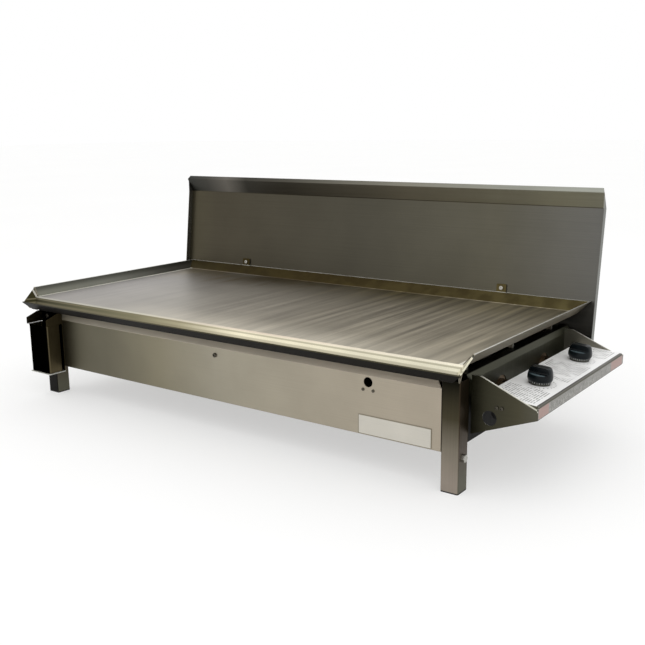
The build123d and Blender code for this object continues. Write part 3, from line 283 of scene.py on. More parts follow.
def dress(material, *names):
    """Puts a material on all the slots of these frame nodes."""
    for name in names:
        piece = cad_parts[name]
        if not piece.material_slots:
            piece.data.materials.append(material)
        for slot in piece.material_slots:
            slot.material = material


def plate_material():
    """Stainless hotplate, satin brushed front to back: cool grey at the left, browner and darker in fingers
    from the back, with a painted sheen along the front, painted shade and highlights on the guards, bends and
    edges, and a painted reflection along the gutter, olive and then creamy."""
    material, add, shader = new_material("Satin stainless hotplate with heat tint")
    x, y, z = split(add, "Object")
    across = add("Range", x, BODY_X - HALF_PLATE, BODY_X + HALF_PLATE)
    base = add(
        "Ramp", across, stops=[(0.0, "#9f9b98"), (0.3, "#a29d94"), (0.6, "#a29b8d"), (1.0, "#a69e8c")]
    )
    # painted sheen: the front of the cooking surface is painted paler, as a reflection, brightest right of
    # its middle
    from_sheen_middle = add("Unsigned", add("Minus", across, 0.62))
    painted_sheen = add(
        "Times",
        add("Fade", y, BODY_Y + 0.11, BODY_Y - 0.01),
        add("Fade", from_sheen_middle, 0.45, 0.05, 0.05, 0.7),
    )
    base = add("Mixed", painted_sheen, base, "#d3ccbc")
    # broad brush bands, 16 mm apart and bolder to the right, and darker, browner fingers reaching forward
    # from the back
    bands = add("Range", streaks(add, "Y", 0.016, 0.45, 2.0), 0.3, 0.7, -1, 1)
    reach = add("Plus", y, add("Times", bands, 0.035))
    back = add("Fade", reach, BODY_Y + 0.31, BODY_Y + 0.5)
    tint = add("Times", back, add("Fade", cloud(add, 0.2, 5.0), 0.35, 0.65, 0.45, 0.95))
    heat = add(
        "Ramp",
        across,
        stops=[(0.05, "#8b806a"), (0.3, "#54472c"), (0.6, "#7f7457"), (0.9, "#b0a68b"), (1.0, "#8f866c")],
    )
    coloured = add("Mixed", tint, base, heat)
    strength = add(
        "Times",
        add("Fade", across, 0.25, 0.75, 0.07, 0.40),
        add("Fade", y, BODY_Y + 0.02, BODY_Y + 0.22, 0.45, 1.0),
    )
    tone = add("Plus", add("Times", bands, strength), 1.0)
    coloured = add("Tinted", 1.0, coloured, add("CombineColor", tone, tone, tone))
    # the raised back is straw brown, with darker stains
    raised = add("Fade", y, *RAISED_BACK)
    straw = add(
        "Ramp", across, stops=[(0.0, "#3a3218"), (0.4, "#4b4023"), (0.7, "#584e31"), (1.0, "#69603f")]
    )
    stain = add("Fade", cloud(add, 0.035), 0.35, 0.65, 0.0, 0.45)
    coloured = add("Mixed", raised, coloured, add("Mixed", stain, straw, "#2f2513"))
    # painted shade and reflection on the side guards' inner faces, picked out by their facing: dull green
    # grey, darker towards their top, with a painted highlight along their foot
    guard = add("Fade", add("Unsigned", split(add, "Normal")[0]), 0.4, 0.6)
    along_guard = add("Range", y, BODY_Y, BODY_Y + 0.5)
    guard_painted_shade = add("Ramp", along_guard, stops=[(0.0, "#737368"), (0.6, "#72726a"), (1.0, "#6e6d66")])
    guard_top_shade = add("Fade", z, PLATE_TOP + 0.004, GUARD_TOP - 0.002)
    guard_painted_shade = add("Mixed", guard_top_shade, guard_painted_shade, "#4b4b44")
    from_middle = add("Unsigned", add("Minus", x, BODY_X))
    foot_highlight = between(add, from_middle, HALF_PLATE - 0.009, HALF_PLATE - 0.001)
    foot_highlight = add("Times", foot_highlight, add("Minus", 1.0, raised))
    coloured = add("Mixed", add("Times", foot_highlight, 0.9), coloured, "#ebe9dd")
    coloured = add("Mixed", guard, coloured, guard_painted_shade)
    # painted reflection: the gutter is painted olive near the drain hole and creamy towards the right
    gutter_painted_reflection = add(
        "Ramp",
        across,
        stops=[
            (0.0, "#33301e"),
            (0.08, "#4b4935"),
            (0.3, "#78745b"),
            (0.42, "#a59e82"),
            (0.58, "#e9e2c8"),
            (1.0, "#dfdbc5"),
        ],
    )
    # painted shade: a duller line under the bend, and another just above the lip
    shade_under_bend = add("Times", between(add, z, 0.2330, 0.2350, 0.0008), 0.5)
    dull = add("Plus", shade_under_bend, add("Fade", z, 0.2288, 0.2268, 0.0, 0.45))
    gutter_painted_reflection = add("Mixed", dull, gutter_painted_reflection, "#837b64")
    coloured = add("Mixed", add("Fade", y, *GUTTER_BEND), coloured, gutter_painted_reflection)
    # painted shade: the rim of the lip is painted dark
    lip_shade_colour = add(
        "Ramp", across, stops=[(0.0, "#2b2a1f"), (0.3, "#5c5744"), (0.6, "#3d3a2b"), (1.0, "#4a4738")]
    )
    coloured = add("Mixed", add("Fade", y, *GUTTER_LIP), coloured, lip_shade_colour)
    # painted highlight along the bend above the gutter
    bend_highlight_colour = add(
        "Ramp", across, stops=[(0.0, "#aeaba2"), (0.3, "#c3c0b2"), (0.6, "#ded1be"), (1.0, "#f0ead6")]
    )
    bend_highlight = between(add, y, BODY_Y - 0.0105, BODY_Y - 0.0075, 0.0008)
    coloured = add("Mixed", bend_highlight, coloured, bend_highlight_colour)
    # painted highlight along the guards' top edges, and painted shade on the undersides, near black under the
    # gutter's lip
    edge = between(add, z, GUARD_TOP - 0.0002, GUARD_TOP + 0.0002, 0.0002)
    coloured = add("Mixed", edge, coloured, "#d6d5cf")
    down = add("Fade", split(add, "Normal")[2], -0.35, -0.6)
    under = add("Mixed", add("Fade", y, BODY_Y - 0.0275, BODY_Y - 0.0265), "#100d08", "#7d7666")
    coloured = add("Mixed", down, coloured, under)
    brushed(add, shader, coloured, "Y", roughness=0.46, depth=0.07, pitch=0.0020)
    return material


def splash_material():
    """Stainless splashback, satin brushed sideways, with painted shade and reflection: dark grey brown,
    lighter and cooler to the right.
    """
    material, add, shader = new_material("Satin stainless splashback")
    x, _, z = split(add, "Object")
    across = add("Range", x, BODY_X - HALF_SPLASH, BODY_X + HALF_SPLASH)
    # painted shade: darker at the left, lighter and cooler to the right
    base = add(
        "Ramp",
        across,
        stops=[(0.0, "#524d3e"), (0.08, "#4b463a"), (0.5, "#514e44"), (0.8, "#605d51"), (1.0, "#696864")],
    )
    # painted reflection: light and dark bands along the top flange
    flange_painted_light = add(
        "Ramp",
        across,
        stops=[
            (0.0, "#31322e"),
            (0.06, "#46443f"),
            (0.12, "#68645d"),
            (0.18, "#3d3b35"),
            (0.3, "#4d4a42"),
            (0.6, "#868377"),
            (1.0, "#a2a49b"),
        ],
    )
    coloured = add("Mixed", add("Fade", z, *SPLASH_FLANGE), base, flange_painted_light)
    # painted light: the side returns, picked out by their facing, are paler
    side = add("Fade", add("Unsigned", split(add, "Normal")[0]), 0.6, 0.9)
    coloured = add("Mixed", side, coloured, "#7b7c78")
    brushed(add, shader, coloured, "X", roughness=0.40, depth=0.08)
    return material


def fascia_material():
    """Stainless fascia, satin brushed along its length: warm light grey, with painted shade darkening it
    towards the tin and a paler painted flange.
    """
    material, add, shader = new_material("Satin stainless fascia")
    x, _, z = split(add, "Object")
    across = add("Range", x, BODY_X - HALF_FASCIA, BODY_X + HALF_FASCIA)
    # painted shade: the tin's shadow and reflection darken the left end
    base = add(
        "Ramp",
        across,
        stops=[
            (0.0, "#3c3a31"),
            (0.09, "#666253"),
            (0.18, "#6b6758"),
            (0.34, "#857f6c"),
            (0.5, "#a09a8a"),
            (1.0, "#aba191"),
        ],
    )
    flange = add("Fade", z, *FASCIA_FLANGE)
    # painted light: the flange under the plate is painted paler
    flange_painted_light = add("Ramp", across, stops=[(0.0, "#857e6c"), (0.15, "#bdb5a5"), (1.0, "#c2b7a6")])
    coloured = add("Mixed", flange, base, flange_painted_light)
    brushed(add, shader, coloured, "X", roughness=0.42, depth=0.05)
    # painted light: a paler colour and less metal keep the flange under the plate light in the gutter's shade
    feed(shader.inputs["Metallic"], add("Range", flange, 0, 1, 1.0, 0.35))
    return material


def body_material():
    """Stainless tube and sheet of the body, satin brushed upwards: brown grey, with painted shade that
    darkens it under the plate, on faces turned to the sides, behind the tin and under the control box, and
    lightens it towards the floor."""
    material, add, shader = new_material("Satin stainless tube and sheet")
    x, y, z = split(add, "Object")
    height = add("Range", z, 0.02, 0.2)
    # painted shade: near black under the plate, lighter towards the floor
    base = add(
        "Ramp", height, stops=[(0.0, "#968c81"), (0.33, "#7f786b"), (0.65, "#454031"), (1.0, "#171610")]
    )
    # painted shadow of the tin on the front of the left front leg
    left = add("Fade", x, BODY_X - 0.50, BODY_X - 0.51)
    front = add("Fade", y, BODY_Y + 0.0375, BODY_Y + 0.0365)
    base = add("Mixed", add("Times", left, front), base, "#0d0b07")
    # painted shade for faces turned to the right, darker and greener than the fronts
    side_painted_shade = add(
        "Ramp", height, stops=[(0.0, "#605f52"), (0.3, "#574e45"), (0.5, "#3a3022"), (1.0, "#40362a")]
    )
    # painted shade: the end panels are painted greener than the legs, and near black in the gap beside the
    # front gusset
    panel = add("Fade", y, *PANEL_START)
    gap_shade = add("Times", add("Fade", z, 0.185, 0.165), add("Fade", y, BODY_Y + 0.047, BODY_Y + 0.046))
    # painted shade: the front of the end panels under the control box is painted near black, with a ragged
    # edge
    ragged_shade_edge = add("Times", cloud(add, 0.03), 0.05)
    painted_box_shade = add(
        "Times",
        add("Fade", add("Plus", z, ragged_shade_edge), 0.180, 0.160),
        add("Fade", add("Plus", y, ragged_shade_edge), BODY_Y + 0.29, BODY_Y + 0.20),
    )
    panel_shade_colour = add("Mixed", add("Greater", gap_shade, painted_box_shade), "#3f3f31", "#060503")
    side_painted_shade = add("Mixed", panel, side_painted_shade, panel_shade_colour)
    # painted shade by facing: faces turned to the right take the side colours, faces turned to the left a
    # flat darker grey
    outwards = split(add, "Normal")[0]
    right_side = add("Fade", outwards, 0.5, 0.9)
    left_side = add("Fade", outwards, -0.5, -0.9)
    coloured = add("Mixed", right_side, base, side_painted_shade)
    coloured = add("Mixed", left_side, coloured, "#56544a")
    brushed(add, shader, coloured, "Z", roughness=0.42, depth=0.08)
    # painted shade: a matt, non-metal finish keeps that patch dark
    matt_shade = add("Times", painted_box_shade, add("Times", panel, right_side))
    feed(shader.inputs["Metallic"], add("Range", matt_shade, 0, 1, 1.0, 0.0))
    steel_roughness = shader.inputs["Roughness"].links[0].from_socket
    feed(shader.inputs["Roughness"], add("Plus", steel_roughness, add("Times", matt_shade, 0.5)))
    return material


def box_material():
    """Stainless sheet of the control box, satin brushed sideways: warm dark grey brown on its ends, with
    painted highlights on its bare edges, painted light making it cooler on top, and a paler painted inner
    face on the rear gusset."""
    material, add, shader = new_material("Satin stainless control box")
    x, y, z = split(add, "Object")
    end_colour = add(
        "Ramp",
        add("Range", x, BODY_X + HALF_BODY, BODY_X + LIP_X),
        stops=[(0.0, "#353428"), (0.35, "#3f3d31"), (0.7, "#4a4739"), (1.0, "#57554a")],
    )
    # painted light: the rear gusset's inner face is painted paler
    rear = add("Fade", y, BODY_Y + 0.473, BODY_Y + 0.474)
    end_colour = add("Mixed", rear, end_colour, "#8d8a7e")
    # painted highlight along the deburred top edges of the gussets, about 1.5 mm wide
    inside = between(add, y, *GUSSET_FACES, 0.0004)
    fall = add("Times", add("Minus", x, BODY_X + SHOULDER_X), EDGE_FALL)
    below_edge = add("Minus", add("Minus", SHOULDER_Z, fall), z)
    near_edge = between(add, below_edge, -0.0005, 0.0014, 0.0004)
    edge = add("Times", near_edge, add("Minus", 1.0, inside))
    end_colour = add("Mixed", edge, end_colour, "#c8c6ba")
    # painted light: faces turned up are painted cooler, and near white as a highlight on the gussets' top
    # edges
    up = add("Fade", split(add, "Normal")[2], 0.5, 0.8)
    top_highlight_colour = add("Mixed", inside, "#f0efe9", "#66645e")
    brushed(add, shader, add("Mixed", up, end_colour, top_highlight_colour), "X", roughness=0.42, depth=0.08)
    return material


def tin_material():
    """Plain steel tin, dull, with painted shade and light: nearly black in front, olive brown on its sides,
    and a painted highlight along its foot."""
    material, add, shader = new_material("Dull steel fat tin")
    side = add("Fade", add("Unsigned", split(add, "Normal")[0]), 0.5, 0.9)
    foot_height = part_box("tin_holder")[0][2] + 0.0018
    above_foot = add("Fade", split(add, "Object")[2], foot_height, foot_height + 0.0003)
    # painted shade and light by facing: the front near black, the sides olive brown, the foot a bright
    # painted highlight
    coloured = add("Mixed", above_foot, "#e4e4de", add("Mixed", side, "#070604", "#5f5641"))
    brushed(add, shader, coloured, "Z", roughness=0.42)
    # painted shade: a dark specular tint keeps even a grazing view of the steel dark
    feed(shader.inputs["Specular Tint"], "#3c3a36")
    return material


def burner_material():
    """Stainless burner tube after use: dull, with straw and blue heat colours along the top."""
    material, add, shader = new_material("Heat-tinted burner tube")
    x, _, z = split(add, "Object")
    hot = add("Fade", z, 0.150, 0.176)
    # heat bands about 300 mm apart
    wave = add("Sine", add("Times", x, 21.0))
    heat = add(
        "Ramp", add("Fade", wave, -1, 1), stops=[(0.0, "#6b5a44"), (0.5, "#4f4648"), (1.0, "#5a6068")]
    )
    brushed(add, shader, add("Mixed", hot, "#77736a", heat), "X", roughness=0.42, depth=0.10)
    return material


def turned_material(name, colour, roughness):
    """Turned or cast metal with fine machining lines round its height."""
    material, add, shader = new_material(name)
    # real machining lines are about 0.1 mm apart, too fine to show, so these are coarser
    brushed(add, shader, tuple(colour), "Z", roughness, depth=0.08, pitch=0.0006)
    return material


def pipe_material():
    """Galvanised gas pipe: mid grey with soft crystal patches of about 6 mm."""
    material, add, shader = new_material("Galvanised pipe")
    place = add("TexCoord").outputs["Object"]
    crystals = add("TexVoronoi", inputs={"Vector": place, "Scale": 160.0}).outputs["Color"]
    grey = add("SeparateColor", crystals).outputs["Red"]
    feed(shader.inputs["Base Color"], add("Ramp", grey, stops=[(0.0, "#8a8d8e"), (1.0, "#a3a6a7")]))
    feed(shader.inputs["Roughness"], add("Fade", grey, 0, 1, 0.38, 0.52))
    feed(shader.inputs["Metallic"], 1.0)
    return material


def painted_plug_material():
    """Iron plug painted black, with a slight orange peel."""
    material, add, shader = new_material("Black painted iron plug")
    peel = cloud(add, 0.0015, 2.0)
    feed(shader.inputs["Base Color"], add("Ramp", peel, stops=[(0.3, "#050505"), (0.7, "#0a0a09")]))
    feed(shader.inputs["Roughness"], add("Fade", peel, 0.3, 0.7, 0.45, 0.6))
    return material


def knob_material(row_y):
    """Moulded phenolic knob: satin black with a faint green cast and a very fine grain, its foot's ribs worn
    grey, and a painted highlight along the ledges beside its grip."""
    material, add, shader = new_material("Moulded black phenolic")
    x, y, z = split(add, "Object")
    soft = cloud(add, 0.017, 3.0)
    black = add("Ramp", soft, stops=[(0.3, "#04070a"), (0.7, "#081215")])
    away_x = add("Minus", x, KNOB_FOOT_X)
    away_y = add("Minus", y, BODY_Y + row_y)
    away_z = add("Minus", z, KNOB_FOOT_Z)
    height = add(
        "Plus",
        add("Times", away_x, math.sin(PANEL_SLOPE)),
        add("Times", away_z, math.cos(PANEL_SLOPE)),
    )
    # 30 ribs, worn to grey on their faces
    ribs = add("Sine", add("Times", add("Angle", away_y, away_x), 30.0))
    worn = add("Times", add("Fade", ribs, -0.2, 0.4), add("Fade", height, 0.0029, 0.0025))
    worn = add("Times", worn, add("Fade", cloud(add, 0.006, 2.0), 0.4, 0.6, 0.35, 0.85))
    # painted highlight: the ledges beside the grip are painted paler along their rim
    ledge = bpy.context.scene.barbecue_sizes.skirt_height
    near_ledge = between(add, height, ledge - 0.0012, ledge + 0.0002, 0.0003)
    near_rim = add("Fade", add("Unsigned", away_y), 0.0150, 0.0190, 0.0, 0.45)
    coloured = add("Mixed", worn, black, "#a9aaa6")
    coloured = add("Mixed", add("Times", near_ledge, near_rim), coloured, "#66777c")
    feed(shader.inputs["Base Color"], coloured)
    feed(shader.inputs["Roughness"], add("Fade", soft, 0.3, 0.7, 0.26, 0.36))
    # the real grain is about 0.1 mm, too fine to show, so this is coarser
    grain = cloud(add, 0.0006, 2.0)
    bump = add("Bump", inputs={"Strength": 0.15, "Distance": 0.0001, "Height": grain})
    feed(shader.inputs["Normal"], bump)
    feed(shader.inputs["IOR"], 1.5)
    feed(shader.inputs["Specular IOR Level"], 0.18)
    return material


def rubber_material():
    """Moulded rubber leg caps: black, matt, slightly dusty."""
    material, add, shader = new_material("Moulded black rubber")
    dust = cloud(add, 0.008)
    feed(shader.inputs["Base Color"], add("Ramp", dust, stops=[(0.35, "#161514"), (0.75, "#2c2a27")]))
    feed(shader.inputs["Roughness"], add("Fade", dust, 0.3, 0.7, 0.7, 0.85))
    return material


def broken_rules(add, stacked, pitch):
    """Uneven grey dashes in rows along Y: one on them and nought between them."""
    rule = add("Fade", add("Fraction", add("Times", stacked, 1 / pitch)), 0.5, 0.6)
    dashes = add("Fade", streaks(add, "Y", 0.012, 0.006, 1.0), 0.42, 0.50)
    return add("Times", rule, dashes)


def knob_dashes(add, away_x, away_y):
    """Short dashes on a half ring round a knob, on the side of the lip."""
    squares = add("Plus", add("Times", away_x, away_x), add("Times", away_y, away_y))
    ring = between(add, add("Root", squares), 0.0275, 0.0305, 0.0004)
    # a dash every 15 degrees
    turn = add("Times", add("Angle", away_y, away_x), 12 / math.pi)
    dash = add("Fade", add("Zigzag", turn, 0.5), 0.38, 0.42)
    outer = add("Fade", away_x, -0.002, 0.002)
    return joined(add, "Times", (dash, ring, outer))


def control_label_material():
    """Printed polyester sheet: pale, with faint broken rules in three blocks and short dashes round each
    knob."""
    material, add, shader = new_material("Printed white control label")
    x, y, _ = split(add, "Object")
    blocks = [
        between(add, y, BODY_Y + low, BODY_Y + high)
        for low, high in ((0.055, 0.130), (0.205, 0.325), (0.400, 0.466))
    ]
    columns = add("Times", joined(add, "Plus", blocks), between(add, x, BODY_X + 0.600, BODY_X + 0.676))
    marks = add("Times", broken_rules(add, x, 0.0050), columns)
    for row in KNOB_ROWS.values():
        dashes = knob_dashes(add, add("Minus", x, BODY_X + KNOB_X), add("Minus", y, BODY_Y + row))
        marks = add("Greater", marks, add("Times", dashes, 1.6))
    outwards = add("Range", x, BODY_X + PANEL_INNER_X, BODY_X + LIP_X)
    ground = add("Ramp", outwards, stops=[(0.0, "#f3f3f1"), (1.0, "#fafaf9")])
    ink = tuple(bpy.context.scene.barbecue_colours.label_marks)
    feed(shader.inputs["Base Color"], add("Mixed", add("Times", marks, 0.75), ground, ink))
    feed(shader.inputs["Roughness"], add("Fade", marks, 0, 1, 0.34, 0.45))
    return material


def lip_label_material():
    """Printed grey strip on the lip: mottled, with faint broken rules and a dull pink block at each end."""
    material, add, shader = new_material("Printed grey lip label")
    _, y, z = split(add, "Object")
    marks = broken_rules(add, z, 0.0031)
    ends = add(
        "Plus",
        between(add, y, BODY_Y + 0.043, BODY_Y + 0.086),
        between(add, y, BODY_Y + 0.405, BODY_Y + 0.472),
    )
    rows = between(add, z, 0.1515, 0.1685, 0.0008)
    mottle = add("Ramp", cloud(add, 0.005), stops=[(0.35, "#6f6e69"), (0.65, "#94938d")])
    ground = add("Mixed", add("Times", ends, rows), mottle, "#9a7d75")
    middle = add("Times", rows, between(add, y, BODY_Y + 0.095, BODY_Y + 0.395, 0.002))
    strength = joined(add, "Times", (marks, middle, 0.55))
    feed(shader.inputs["Base Color"], add("Mixed", strength, ground, "#5c5b56"))
    feed(shader.inputs["Roughness"], add("Fade", marks, 0, 1, 0.36, 0.46))
    return material


def badge_material():
    """Anodised aluminium plate, brushed along its length: pale and plain, with a darker border."""
    material, add, shader = new_material("Anodised aluminium plate")
    colours = bpy.context.scene.barbecue_colours
    x, _, z = split(add, "Object")
    low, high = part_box("badge_plate")
    margin = 0.0018
    across = between(add, x, low[0] + margin, high[0] - margin, 0.0003)
    upwards = between(add, z, low[2] + margin, high[2] - margin, 0.0003)
    field = add("Times", across, upwards)
    coloured = add("Mixed", field, tuple(colours.badge_border), tuple(colours.badge))
    brushed(add, shader, coloured, "X", roughness=0.44, depth=0.04)
    return material


def weld_material():
    """Stainless weld bead, left as it was welded: ripples of straw and grey every few millimetres."""
    material, add, shader = new_material("Stainless weld bead")
    tint = add("Ramp", cloud(add, 0.006, 2.0), stops=[(0.35, "#5d574a"), (0.65, "#898374")])
    brushed(add, shader, tint, "Y", roughness=0.40, depth=0.08)
    return material


def seen_by(add, *kinds):
    """One for what these kinds of ray meet, such as the camera's own, and nought for the rest."""
    rays = add("LightPath")
    return joined(add, "Greater", [rays.outputs[f"Is {kind} Ray"] for kind in kinds])


def floor_material():
    """Painted board: nearly white, matt, with slow soft changes of tone."""
    material, add, shader = new_material("Pale painted studio floor")
    output = shader.outputs["BSDF"].links[0].to_node
    soft = cloud(add, 1.25, 2.0)
    feed(shader.inputs["Base Color"], add("Ramp", soft, stops=[(0.3, "#fcfcfb"), (0.7, "#fefefd")]))
    feed(shader.inputs["Roughness"], 0.9)
    feed(shader.inputs["Specular IOR Level"], 0.1)
    # the camera and mirrors see the floor half as white card, which lightens the object's shadow
    half_seen = add("Times", seen_by(add, "Camera", "Glossy"), 0.5)
    card = add("Emission", "#ffffff", 1.0)
    feed(output.inputs["Surface"], add("MixShader", half_seen, shader, card))
    return material


def start_piece(name, kind, **settings):
    """Adds one primitive with nothing else selected and opens it in edit mode, all of it selected."""
    bpy.ops.object.select_all(action="DESELECT")
    getattr(bpy.ops.mesh, f"primitive_{kind}_add")(**settings)
    piece = bpy.context.object
    piece.name = name
    bpy.ops.object.mode_set(mode="EDIT")
    bpy.ops.mesh.select_all(action="SELECT")
    return piece


def pull(move, widen=1.0):
    """Extrudes the selected face by a step, then widens it about its middle."""
    bpy.ops.mesh.extrude_region_move(TRANSFORM_OT_translate={"value": move})
    if widen != 1.0:
        bpy.ops.transform.resize(value=(widen, widen, widen))


def finish_piece(piece, body, material, angle):
    """Closes the shape, puts its place in its mesh, and gives it its body, slot and finish."""
    bpy.ops.object.mode_set(mode="EDIT")
    bpy.ops.mesh.select_all(action="SELECT")
    bpy.ops.mesh.remove_doubles(threshold=1e-6)
    bpy.ops.mesh.normals_make_consistent(inside=False)
    bpy.ops.object.mode_set(mode="OBJECT")
    bpy.ops.object.transform_apply(location=True, rotation=True, scale=True)
    bpy.ops.object.shade_smooth_by_angle(angle=math.radians(angle))
    piece.data.materials.clear()
    piece.data.materials.append(material)
    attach(piece, body)


def copy_piece(piece, name):
    """A copy of a piece with its own mesh, alone selected."""
    bpy.ops.object.select_all(action="DESELECT")
    piece.select_set(True)
    bpy.context.view_layer.objects.active = piece
    bpy.ops.object.duplicate(linked=False)
    twin = bpy.context.object
    twin.name = name
    return twin


def apply_modifier(piece, kind, **settings):
    """Adds one modifier to the piece and applies it."""
    bpy.ops.object.mode_set(mode="OBJECT")
    bpy.context.view_layer.objects.active = piece
    bpy.ops.object.modifier_add(type=kind)
    modifier = piece.modifiers[-1]
    for key, value in settings.items():
        setattr(modifier, key, value)
    bpy.ops.object.modifier_apply(modifier=modifier.name)


def knob_barrel(sizes):
    """A knob's barrel, foot down: hollow below, a full belly, and a crown that narrows to a soft edge."""
    # the foot is a thin ring, wide enough inside to pass over the bezel when the knob is pressed
    hollow = 0.0196
    roof = 0.004
    piece = start_piece("knob", "circle", vertices=72, radius=hollow, fill_type="NGON", location=(0, 0, roof))
    # (radius, height) from the hollow's roof round the foot and up the side
    top = sizes.knob_height
    widest = sizes.knob_radius
    profile = (
        (hollow, 0.0),
        (widest * 0.886, 0.0),
        (widest * 0.898, 0.0004),
        (widest * 0.898, 0.0026),
        (widest * 0.930, 0.0031),
        (widest * 0.965, 0.0043),
        (widest * 0.990, 0.0060),
        (widest, 0.0080),
        (widest * 0.993, 0.0108),
        (widest * 0.975, 0.0145),
        (widest * 0.946, top - 0.0100),
        (widest * 0.918, top - 0.0070),
        (widest * 0.880, top - 0.0044),
        (widest * 0.835, top - 0.0025),
        (widest * 0.780, top - 0.0012),
        (widest * 0.710, top - 0.0004),
        (widest * 0.620, top),
    )
    radius, height = hollow, roof
    for next_radius, next_height in profile:
        pull((0, 0, next_height - height), next_radius / radius)
        radius, height = next_radius, next_height
    bpy.ops.object.mode_set(mode="OBJECT")
    bpy.ops.object.transform_apply(location=True, rotation=False, scale=False)
    return piece


def pocket_cutter(sizes, side):
    """The hollow beside a knob's grip, with a rounded foot where it meets the grip."""
    # the block is larger than the knob, so only its foot and its inner face cut
    length, depth, height = 0.12, 0.05, 0.04
    near = sizes.grip_width / 2
    foot = sizes.skirt_height
    piece = start_piece("pocket", "cube", size=1, location=(0, 0, 0))
    bpy.ops.transform.resize(value=(length, depth, height))
    bpy.ops.transform.translate(value=(0, side * (near + depth / 2), foot + height / 2))
    bpy.ops.mesh.select_all(action="DESELECT")
    bpy.ops.mesh.select_mode(type="EDGE")
    bpy.ops.object.mode_set(mode="OBJECT")
    for edge in piece.data.edges:
        ends = [piece.data.vertices[i].co for i in edge.vertices]
        low = all(abs(end.z - foot) < 1e-5 for end in ends)
        edge.select = low and all(abs(abs(end.y) - near) < 1e-5 for end in ends)
    bpy.ops.object.mode_set(mode="EDIT")
    bpy.ops.mesh.bevel(offset=0.0022, segments=4, affect="EDGES")
    bpy.ops.object.mode_set(mode="OBJECT")
    return piece


class BARBECUE_OT_knobs(bpy.types.Operator):
    """Model the knobs, with a grip bar across a barrel"""

    bl_idname = "barbecue.knobs"
    bl_label = "Model the knobs"

    def execute(self, context):
        sizes = context.scene.barbecue_sizes
        barrel = knob_barrel(sizes)
        for side in (-1, 1):
            cutter = pocket_cutter(sizes, side)
            bpy.ops.object.select_all(action="DESELECT")
            barrel.select_set(True)
            apply_modifier(barrel, "BOOLEAN", operation="DIFFERENCE", object=cutter, solver="EXACT")
            bpy.data.objects.remove(cutter)
        sharp = math.radians(38)
        apply_modifier(
            barrel, "BEVEL", width=0.0010, segments=3, limit_method="ANGLE", angle_limit=sharp
        )
        for row, away in KNOB_ROWS.items():
            knob = copy_piece(barrel, f"knob_cover_{row}")
            knob.rotation_euler = (0, PANEL_SLOPE, 0)
            knob.location = (KNOB_FOOT_X, BODY_Y + away, KNOB_FOOT_Z)
            finish_piece(knob, f"knob_{row}", knob_material(away), 30)
            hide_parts(f"knob_{row}")
        bpy.data.objects.remove(barrel)
        return {"FINISHED"}


def weld_bead(name, start, end, width, material):
    """A bead laid from one point to another: a rod whose rings swell and shrink as the weld pool did."""
    ripple = 0.45 * width
    swell = 1.14
    run = Vector(end) - Vector(start)
    steps = max(6, round(run.length / ripple))
    step = run / steps
    piece = start_piece(
        name,
        "circle",
        vertices=10,
        radius=width * 0.28,
        fill_type="NGON",
        location=start,
        rotation=run.to_track_quat("Z", "Y").to_euler(),
    )
    # a short taper at each end
    pull(step * 0.3, 1.6)
    for index in range(steps - 1):
        pull(step, swell if index % 2 else 1 / swell)
    pull(step * 0.7, 0.6)
    finish_piece(piece, "plate", material, 50)


class BARBECUE_OT_welds(bpy.types.Operator):
    """Lay the weld beads that close the ends of the gutter"""

    bl_idname = "barbecue.welds"
    bl_label = "Lay the welds"

    def execute(self, context):
        width = context.scene.barbecue_sizes.weld_width
        material = weld_material()
        # corner of the plate, top of the guard, valley and lip, as (out, forward, up) from the body's middle
        corner = (HALF_PLATE, -0.0060, PLATE_TOP)
        guard = (HALF_PLATE + 0.016, -0.0026, GUARD_TOP)
        valley = (HALF_PLATE + 0.0036, -0.0270, PLATE_TOP - 0.026)
        lip = (HALF_PLATE + 0.009, -0.0400, PLATE_TOP - 0.009)
        seams = (("guard", corner, guard), ("back", corner, valley), ("front", valley, lip))
        for side_name, side in (("left", -1), ("right", 1)):
            for seam_name, *ends in seams:
                start, end = [(BODY_X + side * p[0], BODY_Y + p[1], p[2]) for p in ends]
                weld_bead(f"weld_{seam_name}_{side_name}", start, end, width, material)
        return {"FINISHED"}


class BARBECUE_OT_steel(bpy.types.Operator):
    """Finish the plate, the splashback and the sheet metal of the body"""

    bl_idname = "barbecue.steel"
    bl_label = "Finish the steel"

    def execute(self, context):
        dress(plate_material(), "hotplate", "plate_stiffeners")
        dress(splash_material(), "splashback")
        dress(fascia_material(), "front_fascia")
        dress(
            body_material(),
            "leg_front_left",
            "leg_front_right",
            "leg_rear_left",
            "leg_rear_right",
            "end_panel_left",
            "end_panel_right",
            "rear_panel",
            "heat_shield",
            "fascia_stay",
            "lighting_plate",
        )
        dress(box_material(), "gusset_front", "gusset_rear", "control_panel")
        dress(tin_material(), "fat_tin", "tin_holder")
        return {"FINISHED"}


